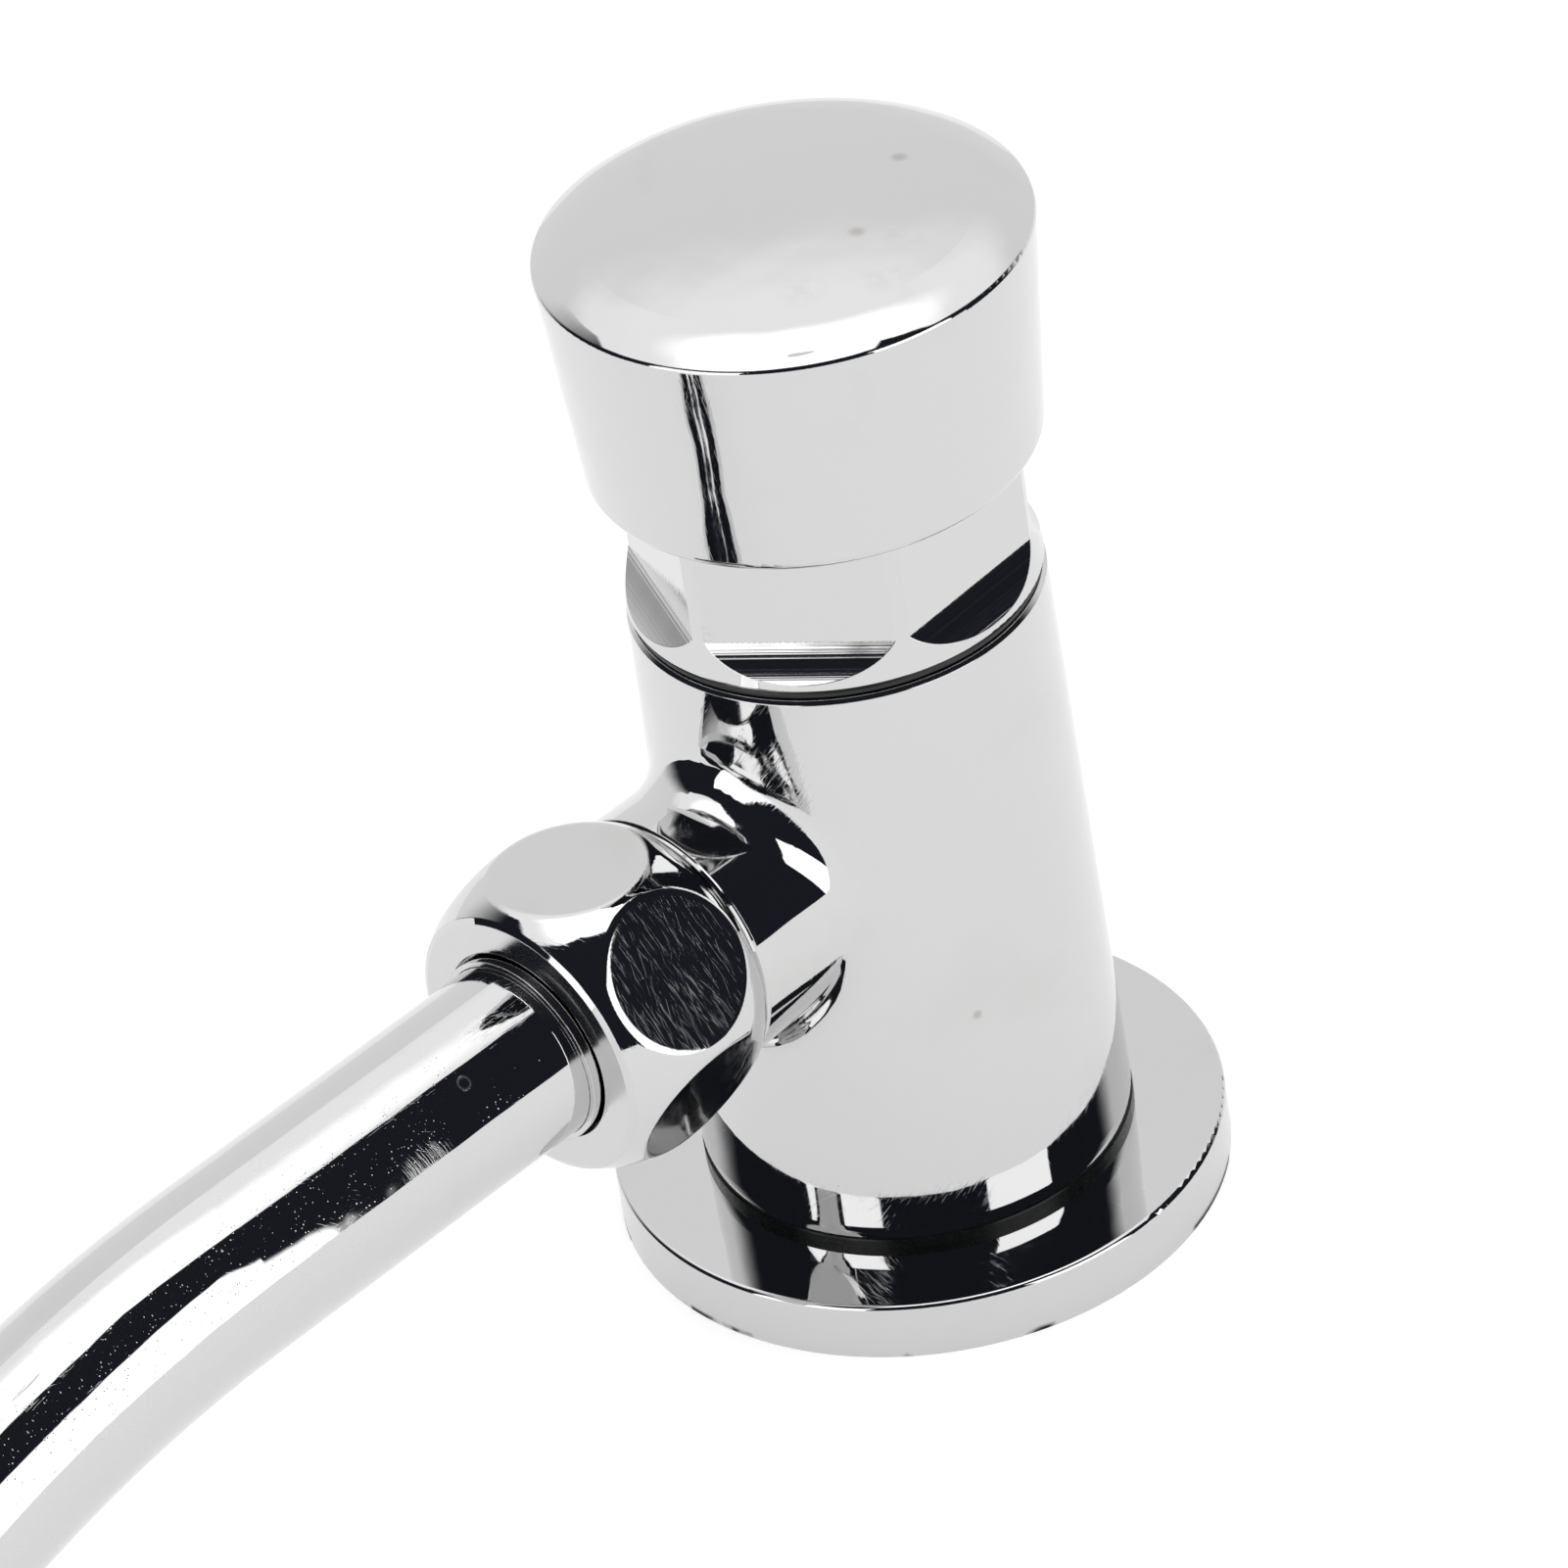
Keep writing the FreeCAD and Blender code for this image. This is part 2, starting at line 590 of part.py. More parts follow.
def make_cartridge():
    """Valve seat, window cage and timing cylinder in one turned piece."""
    lip_top_z = seat_z + seat_lip
    spigot_r = inlet_chamber_r - 2 * sliding_clearance
    flange_r = chamber_r - sliding_clearance
    seat_flange_r = chamber_r - open_gap
    outside = turned((0, seat_z), (seat_bore_r + seat_lip, seat_z), (seat_bore_r + seat_lip, lip_top_z),
                     (spigot_r, lip_top_z), (spigot_r, chamber_floor_z), (seat_flange_r, chamber_floor_z),
                     (seat_flange_r, seat_flange_top_z), (cage_r, seat_flange_top_z),
                     (cage_r, chamber_flange_z),
                     (flange_r, chamber_flange_z), (flange_r, bonnet_low_z),
                     (timing_cylinder_r, bonnet_low_z),
                     (timing_cylinder_r, timing_top_z), (0, timing_top_z))
    inside = turned((0, seat_z), (seat_bore_r, seat_z), (seat_bore_r, seat_flange_top_z),
                    (cage_bore_r, seat_flange_top_z), (cage_bore_r, timing_bore_low_z),
                    (timing_bore_r, timing_bore_low_z), (timing_bore_r, timing_top_z), (0, timing_top_z))
    shell = outside.cut(inside)
    window_length = 2 * (cage_r + cut_overrun)
    window_low_z = seat_flange_top_z + window_margin
    window_height = chamber_flange_z - window_margin - window_low_z
    for turn in (0, 90):
        window = Part.makeBox(window_length, window_width, window_height,
                              V(-window_length / 2, -window_width / 2, window_low_z))
        window.rotate(ORIGIN, Z_AXIS, turn)
        shell = shell.cut(window)
    shell = shell.cut(ring_groove(seat_ring_r(), seat_ring_z(), seat_ring_cord_r, spigot_r))
    shell = shell.cut(ring_groove(chamber_ring_r(), chamber_ring_z(), chamber_ring_cord_r, flange_r))
    bleed = Part.makeCylinder(bleed_groove_r, timing_top_z - timing_bore_low_z,
                              V(timing_bore_r, 0, timing_bore_low_z))
    return shell.cut(bleed)


def ring_groove(ring_r, z, cord_r, wall_r):
    """Turned groove that holds a sealing ring and opens at an outer wall."""
    half = cord_r + ring_groove_play
    return tube(ring_r - cord_r - seal_clearance, wall_r + cut_overrun, z - half, z + half)


def seat_ring_r():
    return inlet_chamber_r - seal_clearance - seat_ring_cord_r


def seat_ring_z():
    return chamber_floor_z - seat_spigot_length / 2


def chamber_ring_r():
    return chamber_r - seal_clearance - chamber_ring_cord_r


def chamber_ring_z():
    return (chamber_flange_z + bonnet_low_z) / 2


def make_seat_ring():
    return sealing_ring(seat_ring_r(), seat_ring_z(), seat_ring_cord_r)


def make_chamber_ring():
    return sealing_ring(chamber_ring_r(), chamber_ring_z(), chamber_ring_cord_r)


def cover_ring_z():
    return timing_top_z + cover_thickness / 2


def make_cartridge_cover():
    """Screwed lid of the timing cylinder, with a groove for the spindle's sealing ring."""
    top_z = timing_top_z + cover_thickness
    hole_r = spindle_r + sliding_clearance
    half = spindle_ring_cord_r + ring_groove_play
    groove_r = spindle_r + 2 * spindle_ring_cord_r + 2 * seal_clearance
    ring_z = cover_ring_z()
    return turned((hole_r, timing_top_z), (cover_skirt_bore_r, timing_top_z),
                  (cover_skirt_bore_r, timing_top_z - cover_skirt),
                  (cover_r, timing_top_z - cover_skirt), (cover_r, top_z - body_edge),
                  (cover_r - body_edge, top_z),
                  (hole_r, top_z), (hole_r, ring_z + half), (groove_r, ring_z + half),
                  (groove_r, ring_z - half),
                  (hole_r, ring_z - half))


def make_spindle_ring():
    return sealing_ring(spindle_r + seal_clearance + spindle_ring_cord_r, cover_ring_z(), spindle_ring_cord_r)


def lip_seal_low_z():
    return piston_low_z + (piston_height - lip_seal_height) / 2


def make_piston():
    """Timing piston with a hub below for the stem and a socket above for the spindle's tip."""
    seal_low_z = lip_seal_low_z()
    seal_high_z = seal_low_z + lip_seal_height
    hub_low_z = piston_low_z - piston_hub_length
    stem_bore_r = stem_r + thread_clearance
    stem_top_z = piston_low_z + stem_hold
    return turned((0, stem_top_z), (stem_bore_r, stem_top_z), (stem_bore_r, hub_low_z),
                   (piston_hub_r, hub_low_z),
                   (piston_hub_r, piston_low_z), (piston_r, piston_low_z), (piston_r, seal_low_z),
                   (lip_seal_bore_r - seal_clearance, seal_low_z),
                   (lip_seal_bore_r - seal_clearance, seal_high_z),
                   (piston_r, seal_high_z), (piston_r, piston_top_z), (tip_socket_r, piston_top_z),
                   (tip_socket_r, tip_socket_z), (0, tip_socket_z))


def make_lip_seal():
    """Rubber cup seal, grooved on the side that faces the timing chamber."""
    low = lip_seal_low_z()
    high = low + lip_seal_height
    outer_r = timing_bore_r - seal_clearance
    middle_r = (lip_seal_bore_r + outer_r) / 2
    floor_z = high - lip_seal_cut_depth
    return turned((lip_seal_bore_r, low), (outer_r - open_gap, low), (outer_r, high),
                  (middle_r + lip_seal_cut, high), (middle_r, floor_z), (middle_r - lip_seal_cut, high),
                  (lip_seal_bore_r, high))


def make_valve_stem():
    top_z = piston_low_z + stem_hold
    collar_top_z = seat_z + stem_collar_height
    return turned((0, stem_nut_low_z), (stem_r, stem_nut_low_z), (stem_r, seat_z), (stem_collar_r, seat_z),
                  (stem_collar_r, collar_top_z), (stem_r, collar_top_z), (stem_r, top_z), (0, top_z))


def make_seat_washer():
    return tube(stem_r + thread_clearance, washer_r, washer_low_z, seat_z)


def make_washer_holder():
    """Brass cup that backs the seat washer."""
    bore_r = stem_r + thread_clearance
    rim_bore_r = washer_r + thread_clearance
    return turned((bore_r, holder_low_z), (holder_r, holder_low_z), (holder_r, washer_low_z + holder_rim),
                  (rim_bore_r, washer_low_z + holder_rim), (rim_bore_r, washer_low_z), (bore_r, washer_low_z))


def make_stem_nut():
    return hexagon_nut(stem_nut_flats, stem_r + thread_clearance, stem_nut_low_z, holder_low_z)


def make_valve_spring():
    return coil_spring(valve_spring_r, valve_spring_wire_r, seat_flange_top_z, piston_low_z,
                       valve_spring_turns)


def on_flat_rim(edge):
    """True for the circle where one of the nut's flats meets the ball."""
    centre = getattr(edge.Curve, "Center", ORIGIN)
    return abs(math.hypot(centre.x, centre.y) - nut_flats / 2) < same_point


def make_union_nut():
    """Crowned nut: a ball cut off square at both ends, with six round flats that polishing has rolled."""
    crown_centre = nut_start + nut_length / 2
    corner = math.cos(math.radians(30))
    widest_roll_r = (nut_flats / 2 - nut_crown_r * corner) / (1 - corner)
    ball = Part.makeSphere(nut_crown_r, V(0, 0, crown_centre))
    end_r = math.sqrt(nut_crown_r ** 2 - (nut_length / 2) ** 2) - nut_edge
    bevel = (nut_crown_r - end_r) / 2
    envelope = turned((0, nut_start), (end_r, nut_start), (nut_crown_r, nut_start + bevel),
                      (nut_crown_r, nut_end - bevel), (end_r, nut_end), (0, nut_end))
    outside = ball.common(envelope).common(hexagon(nut_flats, nut_start, nut_end, 270 + nut_flat_turn))
    rims = [edge for edge in outside.Edges if on_flat_rim(edge)]
    outside = outside.makeFillet(nut_roll_share * widest_roll_r, rims)
    thread_bore_r = outlet_thread_r + thread_clearance
    inside = turned((0, nut_start), (thread_bore_r, nut_start), (thread_bore_r, nut_end - nut_front_wall),
                    (nut_mouth_r, nut_end - nut_front_wall), (nut_mouth_r, nut_end), (0, nut_end))
    return along_outlet(outside.cut(inside))


def make_clamp_ring():
    """Turned ring that the nut presses on the pipe's seal; its collar stands out of the nut's mouth."""
    bore_r = pipe_r + thread_clearance
    flange_high = nut_end - nut_front_wall
    flange_low = flange_high - clamp_flange_height
    front = nut_end + clamp_ring_stand_out
    return along_outlet(turned((bore_r, flange_low), (clamp_flange_r, flange_low),
                               (clamp_flange_r, flange_high),
                               (clamp_ring_r, flange_high), (clamp_ring_r, front - seal_clearance),
                               (clamp_ring_r - seal_clearance, front), (bore_r, front)))


def make_pipe_seal():
    """Rubber ring squeezed between the outlet's bevelled mouth and the clamp ring."""
    bore_r = pipe_r + thread_clearance
    high = nut_end - nut_front_wall - clamp_flange_height
    tip = outlet_end - socket_mouth + pipe_clearance
    return along_outlet(turned((bore_r, tip), (bore_r + thread_clearance, tip),
                               (pipe_r + socket_mouth, outlet_end), (pipe_seal_r, outlet_end),
                               (pipe_seal_r, high), (bore_r, high)))


def pipe_path():
    """Centre line of the flush pipe, and the point and way of its far end."""
    turn = math.radians(pipe_bend_turn)
    start = V(-pipe_start, 0, outlet_z)
    first = V(-pipe_bend_start, 0, outlet_z)
    middle = bend_point(first, pipe_bend_r, turn / 2)
    second = bend_point(first, pipe_bend_r, turn)
    third = V(second.x - pipe_return_r * math.sin(turn), 0,
              second.z - pipe_return_r * (1 - math.cos(turn)))
    back = V(third.x + pipe_return_r * math.sin(turn / 2), 0,
             third.z + pipe_return_r * (1 - math.cos(turn / 2)))
    end = V(third.x - pipe_end_leg, 0, third.z)
    return Part.Wire([Part.LineSegment(start, first).toShape(), Part.Arc(first, middle, second).toShape(),
                      Part.Arc(second, back, third).toShape(), Part.LineSegment(third, end).toShape()]), end


def bend_point(first, radius, turn):
    """Point of a bend that starts along -X and turns towards the wall."""
    return V(first.x - radius * math.sin(turn), 0, first.z - radius * (1 - math.cos(turn)))


def swept(radius):
    """Round bar along the flush pipe's centre line."""
    path, end = pipe_path()
    section = Part.Wire([Part.makeCircle(radius, V(-pipe_start, 0, outlet_z), V(-1, 0, 0))])
    return path.makePipeShell([section], True, False)


def make_flush_pipe():
    pipe = swept(pipe_r).cut(swept(pipe_r - pipe_wall))
    path, end = pipe_path()
    print("flush pipe", round(path.Length, 1), "mm long, volume over section times length",
          round(pipe.Volume / (path.Length * math.pi * (pipe_r ** 2 - (pipe_r - pipe_wall) ** 2)), 4),
          "far end", round(end.x, 2), round(end.z, 2))
    outer_r = pipe_r + cut_overrun
    tip = turned((pipe_r - pipe_end_chamfer, 0), (outer_r, -pipe_end_chamfer - cut_overrun), (outer_r, 0))
    tip.rotate(ORIGIN, Y_AXIS, -90)
    tip.translate(end)
    return pipe.cut(tip)


makers = {
    "body": make_body,
    "rosette": make_rosette,
    "foot_ring": make_foot_ring,
    "inlet_nipple": make_inlet_nipple,
    "nipple_gasket": make_nipple_gasket,
    "inlet_strainer": make_inlet_strainer,
    "bonnet": make_bonnet,
    "bonnet_ring": make_bonnet_ring,
    "button_cap": make_button_cap,
    "spindle": make_spindle,
    "spindle_clip": make_spindle_clip,
    "lock_nut": make_lock_nut,
    "button_spring": make_button_spring,
    "cartridge": make_cartridge,
    "cartridge_cover": make_cartridge_cover,
    "seat_ring": make_seat_ring,
    "chamber_ring": make_chamber_ring,
    "spindle_ring": make_spindle_ring,
    "piston": make_piston,
    "lip_seal": make_lip_seal,
    "valve_stem": make_valve_stem,
    "seat_washer": make_seat_washer,
    "washer_holder": make_washer_holder,
    "stem_nut": make_stem_nut,
    "valve_spring": make_valve_spring,
    "union_nut": make_union_nut,
    "clamp_ring": make_clamp_ring,
    "pipe_seal": make_pipe_seal,
    "flush_pipe": make_flush_pipe,
}

for name, maker in makers.items():
    shape = maker()
    if len(shape.Solids) == 1:
        shape = shape.Solids[0]
    print(name, len(shape.Solids), shape.isValid(), round(shape.Volume, 1))
    shape.exportStep("parts/" + name + ".step")
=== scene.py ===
import math

import bmesh
import bpy
from mathutils import Matrix, Vector


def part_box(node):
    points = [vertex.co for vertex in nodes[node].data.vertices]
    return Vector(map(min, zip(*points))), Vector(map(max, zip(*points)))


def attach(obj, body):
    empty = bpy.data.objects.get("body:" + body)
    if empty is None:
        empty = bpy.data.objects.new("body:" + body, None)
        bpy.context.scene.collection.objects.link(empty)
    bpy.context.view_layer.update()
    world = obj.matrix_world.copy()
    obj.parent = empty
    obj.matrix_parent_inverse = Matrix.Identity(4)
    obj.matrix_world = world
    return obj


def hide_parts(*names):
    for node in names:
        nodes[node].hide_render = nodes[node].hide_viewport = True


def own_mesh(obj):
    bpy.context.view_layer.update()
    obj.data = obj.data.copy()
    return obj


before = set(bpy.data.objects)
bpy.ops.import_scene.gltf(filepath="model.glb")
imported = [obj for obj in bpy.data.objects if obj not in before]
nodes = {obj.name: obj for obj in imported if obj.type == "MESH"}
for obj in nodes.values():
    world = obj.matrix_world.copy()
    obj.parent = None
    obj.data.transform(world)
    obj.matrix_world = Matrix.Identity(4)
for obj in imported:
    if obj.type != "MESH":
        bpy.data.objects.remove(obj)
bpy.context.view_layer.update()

# The wall that the valve is screwed to, lying flat as on a photographer's table: matt white board
# with a round hole for the inlet nipple. It is lifted to white where the camera or metal sees it.
wall_hole_r = 0.0112
wall_grey = 0.62
wall_lift_seen = 0.62
wall_lift_in_metal = 0.50
wall_grain = 900
wall_mottle = 0.005
wall_rings = (3.0, 0.4, 0.1, 0.03, wall_hole_r)
wall_sides = 96


def add(tree, kind, inputs={}, **settings):
    """A shader node with its settings. An input takes a plain value or another node's output."""
    made = tree.nodes.new("ShaderNode" + kind)
    for name, value in settings.items():
        setattr(made, name, value)
    for name, value in inputs.items():
        socket = made.inputs[name]
        if isinstance(value, bpy.types.NodeSocket):
            tree.links.new(value, socket)
        else:
            socket.default_value = value
    return made


def calc(tree, operation, *values):
    return add(tree, "Math", dict(enumerate(values)), operation=operation).outputs[0]


def ramp(tree, value, low, high, low_out=0.0, high_out=1.0):
    """Smooth step of a value from low_out at low to high_out at high."""
    inputs = {"Value": value, "From Min": low, "From Max": high, "To Min": low_out, "To Max": high_out}
    return add(tree, "MapRange", inputs, interpolation_type="SMOOTHSTEP").outputs[0]


def new_material(name):
    made = bpy.data.materials.new(name)
    made.use_nodes = True
    made.node_tree.nodes.clear()
    return made, made.node_tree


def surface(tree, shader):
    add(tree, "OutputMaterial", {"Surface": shader})


def new_piece(name, grid, material):
    mesh = bpy.data.meshes.new(name)
    grid.to_mesh(mesh)
    grid.free()
    piece = bpy.data.objects.new(name, mesh)
    bpy.context.scene.collection.objects.link(piece)
    mesh.materials.append(material)
    return piece


def board_paint():
    made, tree = new_material("white_board")
    spot = add(tree, "TexCoord").outputs["Object"]
    grain = add(tree, "TexNoise", {"Vector": spot, "Scale": wall_grain, "Detail": 3.0}).outputs["Fac"]
    grey = ramp(tree, grain, 0.2, 0.8, wall_grey - wall_mottle, wall_grey + wall_mottle)
    flat = add(tree, "BsdfDiffuse", {"Color": grey}).outputs[0]
    path = add(tree, "LightPath").outputs
    in_metal = calc(tree, "MAXIMUM", path["Is Glossy Ray"], path["Is Transmission Ray"])
    in_metal = calc(tree, "MULTIPLY", in_metal, wall_lift_in_metal)
    seen = calc(tree, "MULTIPLY", path["Is Camera Ray"], wall_lift_seen)
    lift = add(tree, "Emission", {"Strength": calc(tree, "MAXIMUM", seen, in_metal)}).outputs[0]
    surface(tree, add(tree, "AddShader", {0: flat, 1: lift}).outputs[0])
    return made


def rings_of(grid, rings, close=False):
    """Faces between rings of points that have the same number of points each."""
    rows = [[grid.verts.new(point) for point in ring] for ring in rings]
    pairs = list(zip(rows, rows[1:] + rows[:1])) if close else list(zip(rows, rows[1:]))
    for row, following in pairs:
        for k in range(len(row)):
            j = (k + 1) % len(row)
            grid.faces.new((row[k], row[j], following[j], following[k]))


def make_wall():
    grid = bmesh.new()
    rings = []
    for r in wall_rings:
        angles = [2 * math.pi * k / wall_sides for k in range(wall_sides)]
        rings.append([(r * math.cos(a), r * math.sin(a), 0) for a in angles])
    rings_of(grid, rings)
    wall = new_piece("wall", grid, board_paint())


make_wall()

# The rosette: pressed brass sheet, polished and chromed, that covers the hole in the tiles. The body
# holds it through the rubber ring. It carries the most handling marks: smudges, pits and fine lines.
chrome_grey = (0.66, 0.657, 0.658, 1)
worn_grey = (0.50, 0.485, 0.455, 1)
chrome_rough = 0.022
edge_r = 0.00012
edge_shows = (0.995, 0.90)
polish_swells = 140.0
fine_lines = (9000, 300)
fine_shows = (0.55, 0.75)
cross_turn = 24
cross_lines = (7000, 220)
cross_shows = (0.62, 0.78)
wear_patches = 90.0
wear_shows = (0.40, 0.70)
pit_pitch = 0.0016
pit_r = 0.00009
pit_deep = 8e-6
pit_least = 0.3
pit_floor = 0.3
pit_dulls = 0.8
edge_dulls = 0.5
smudge_patches = 60.0
smudge_sway = 0.6
smudge_shows = (0.55, 0.75)
smudge_rough = 0.02
smudge_tone = 0.12
worn_rough = 0.2


def unrolled(tree, spot, r):
    """Place on a round piece about the valve's axis: way round it at radius r, and height."""
    parts = add(tree, "SeparateXYZ", {"Vector": spot}).outputs
    back = calc(tree, "MULTIPLY", parts[0], -1.0)
    turn = calc(tree, "ARCTAN2", calc(tree, "MULTIPLY", parts[1], -1.0), back)
    return add(tree, "CombineXYZ", {"X": calc(tree, "MULTIPLY", turn, r), "Y": parts[2]}).outputs[0]


def lines(tree, place, turn, across, along, low, high):
    """Fine parallel scratches, as a mask: so many a metre across them, and so many breaks a metre."""
    turned = add(tree, "Mapping", {"Vector": place, "Rotation": (0, 0, math.radians(turn))}).outputs[0]
    drawn = add(tree, "Mapping", {"Vector": turned, "Scale": (along, across, along)}).outputs[0]
    noise = add(tree, "TexNoise", {"Vector": drawn, "Scale": 1.0, "Detail": 2.0, "Roughness": 0.6})
    return ramp(tree, noise.outputs["Fac"], low, high)


def specks(tree, spot, pitch, size, share):
    """Small pits, up to the given size, about one a cell of the given pitch, kept in a share of the cells."""
    cells = add(tree, "TexVoronoi", {"Vector": spot, "Scale": 1 / pitch, "Randomness": 1.0})
    picks = add(tree, "SeparateColor", {"Color": cells.outputs["Color"]}).outputs
    away = calc(tree, "DIVIDE", cells.outputs["Distance"], ramp(tree, picks[1], 0.0, 1.0, pit_least, 1.0))
    dot = ramp(tree, away, size / pitch, pit_floor * size / pitch)
    kept = calc(tree, "LESS_THAN", picks[0], share)
    return calc(tree, "MULTIPLY", dot, kept)


def bumped(tree, height, distance, normal=None):
    inputs = {"Height": height, "Distance": distance, "Strength": 1.0}
    if normal is not None:
        inputs["Normal"] = normal
    return add(tree, "Bump", inputs).outputs[0]


def chrome(name, place, scratch_turn, swell=6.0e-5, scratch=1.6e-6, pit_share=0.02, seed=0.0, extra=None):
    """Polished chrome: long soft swells from polishing, fine scratches, a few pits, worn edges.

    place gives the unrolled surface that the scratches follow. extra adds a piece's own marks to the
    normal, the roughness, the colour or the tangent.
    """
    made, tree = new_material(name)
    spot = add(tree, "TexCoord").outputs["Object"]
    moved = add(tree, "Mapping", {"Vector": spot, "Location": (seed, seed, seed)}).outputs[0]
    flat = place(tree, spot)
    rounded = add(tree, "Bevel", {"Radius": edge_r}, samples=6).outputs[0]
    wide = add(tree, "TexNoise", {"Vector": moved, "Scale": polish_swells, "Detail": 1.0}).outputs["Fac"]
    normal = bumped(tree, wide, swell, rounded)
    fine = lines(tree, flat, scratch_turn, *fine_lines, *fine_shows)
    cross = lines(tree, flat, scratch_turn + cross_turn, *cross_lines, *cross_shows)
    where = add(tree, "TexNoise", {"Vector": moved, "Scale": wear_patches, "Detail": 2.0}).outputs["Fac"]
    where = ramp(tree, where, *wear_shows)
    worn = calc(tree, "MULTIPLY", calc(tree, "ADD", fine, cross), where)
    normal = bumped(tree, worn, scratch, normal)
    pits = specks(tree, moved, pit_pitch, pit_r, pit_share)
    normal = bumped(tree, pits, -pit_deep, normal)
    smudge = add(tree, "TexNoise", {"Vector": moved, "Scale": smudge_patches, "Detail": 4.0,
                                    "Distortion": smudge_sway}).outputs["Fac"]
    smudge = ramp(tree, smudge, *smudge_shows)
    true_normal = add(tree, "NewGeometry").outputs["Normal"]
    along = add(tree, "VectorMath", {0: rounded, 1: true_normal}, operation="DOT_PRODUCT").outputs["Value"]
    edge = ramp(tree, along, *edge_shows)
    dull = calc(tree, "MAXIMUM", calc(tree, "MULTIPLY", edge, edge_dulls),
                calc(tree, "MULTIPLY", pits, pit_dulls))
    rough = calc(tree, "ADD", calc(tree, "MULTIPLY", smudge, smudge_rough),
                 calc(tree, "MULTIPLY", dull, worn_rough))
    rough = calc(tree, "ADD", rough, chrome_rough)
    inputs = {"Metallic": 1.0, "Roughness": rough, "Normal": normal}
    dirt = calc(tree, "MAXIMUM", dull, calc(tree, "MULTIPLY", smudge, smudge_tone))
    tone = add(tree, "Mix", {0: dirt, 6: chrome_grey, 7: worn_grey}, data_type="RGBA").outputs[2]
    inputs["Base Color"] = tone
    if extra is not None:
        extra(tree, spot, flat, inputs)
    surface(tree, add(tree, "BsdfPrincipled", inputs).outputs[0])
    return made


def dress(name, material):
    """Gives a CAD node its finish."""
    slots = nodes[name].data.materials
    if len(slots) == 0:
        slots.append(material)
    for k in range(len(slots)):
        slots[k] = material


rosette_place_r = 0.020
rosette_line_turn = 18
# The next settings paint a broken dark brown line along the plate's lower edge: painted shade of the gap
# under the plate.
rosette_shade_line_high = 0.0007
rosette_shade_line_full = 0.3
rosette_shade_line_breaks = 90.0
rosette_shade_line_shows = (0.50, 0.56)
rosette_shade_line_rough = 0.4
shade_line_brown = (0.030, 0.024, 0.020, 1)


def painted_gap_shade(tree, spot, flat, inputs):
    """Adds a broken painted shadow line along the lower edge, for the shaded gap where the plate meets the
    wall.
    """
    parts = add(tree, "SeparateXYZ", {"Vector": spot}).outputs
    low = ramp(tree, parts[2], rosette_shade_line_high, rosette_shade_line_full * rosette_shade_line_high)
    broken = add(tree, "TexNoise", {"Vector": spot, "Scale": rosette_shade_line_breaks, "Detail": 5.0})
    broken = ramp(tree, broken.outputs["Fac"], *rosette_shade_line_shows)
    gap_shade = calc(tree, "MULTIPLY", low, broken)
    inputs["Base Color"] = add(tree, "Mix", {0: gap_shade, 6: inputs["Base Color"], 7: shade_line_brown},
                               data_type="RGBA").outputs[2]
    inputs["Roughness"] = calc(tree, "ADD", inputs["Roughness"],
                               calc(tree, "MULTIPLY", gap_shade, rosette_shade_line_rough))


# The rosette's extra step paints the shadow line along its lower edge into the colour.
dress("rosette", chrome("chrome_rosette", lambda tree, spot: unrolled(tree, spot, rosette_place_r),
                        rosette_line_turn, swell=5.0e-5, scratch=2.4e-6, pit_share=0.12, seed=0.31,
                        extra=painted_gap_shade))

# The rubber ring between rosette and body: smoky, hard rubber with a satin skin, cut from a tube.
# The body's foot presses it down on the rosette.
ring_dark = (0.003, 0.004, 0.004, 1)
ring_pale = (0.008, 0.010, 0.010, 1)
ring_rough = 0.26
ring_grain = 900
ring_gloss = 0.25
ring_bump = 5e-7
grain_a_cloud = 12
rough_mottle = 0.06


def rubber(name, dark, pale, rough, grain, gloss=0.5, bump=6e-6):
    """Rubber, fibre or plastic: a clouded tone, a fine grain in the skin and a little mottling."""
    made, tree = new_material(name)
    spot = add(tree, "TexCoord").outputs["Object"]
    noise = add(tree, "TexNoise", {"Vector": spot, "Scale": grain, "Detail": 4.0}).outputs["Fac"]
    cloud = add(tree, "TexNoise", {"Vector": spot, "Scale": grain / grain_a_cloud, "Detail": 2.0})
    cloud = ramp(tree, cloud.outputs["Fac"], 0.3, 0.7)
    tone = add(tree, "Mix", {0: cloud, 6: dark, 7: pale}, data_type="RGBA").outputs[2]
    inputs = {"Base Color": tone, "Specular IOR Level": gloss}
    inputs["Roughness"] = ramp(tree, noise, 0.2, 0.8, rough - rough_mottle, rough + rough_mottle)
    inputs["Normal"] = bumped(tree, noise, bump)
    surface(tree, add(tree, "BsdfPrincipled", inputs).outputs[0])
    return made


dress("foot_ring", rubber("smoky_rubber", ring_dark, ring_pale, ring_rough, ring_grain, ring_gloss,
                          ring_bump))

# The inlet nipple: turned brass tube with a G 1/2 pipe thread, screwed into the wall's fitting, and
# a hexagon socket inside for the fitter's key. Its thread is cut with rounded crests and roots.
brass_light = (0.70, 0.52, 0.25, 1)
brass_dark = (0.42, 0.29, 0.12, 1)
thread_pitch = 0.001814
thread_crest_r = 0.01048
thread_root_r = 0.00932
thread_fade = 0.0012
neck_r = 0.0096
neck_low_z = 0.001
neck_high_z = 0.006
nipple_chamfer = 0.001
nipple_bore_r = 0.006
nipple_top_bore_r = 0.0076
nipple_top_bore_depth = 0.0049
nipple_pocket_r = 0.008
nipple_pocket_depth = 0.004
nipple_key_flats = 0.0124
nipple_key_low_z = 0.001
nipple_sides = 120
nipple_rows_a_turn = 9
nipple_sharp_turn = 40
brass_rough = 0.24
brass_grain = 320
tool_place_r = 0.010
tool_marks = (5200, 60)
tool_shows = (0.30, 0.70)
patch_shows = (0.40, 0.72)
rough_shows = (0.35, 0.75)
patch_rough = 0.16


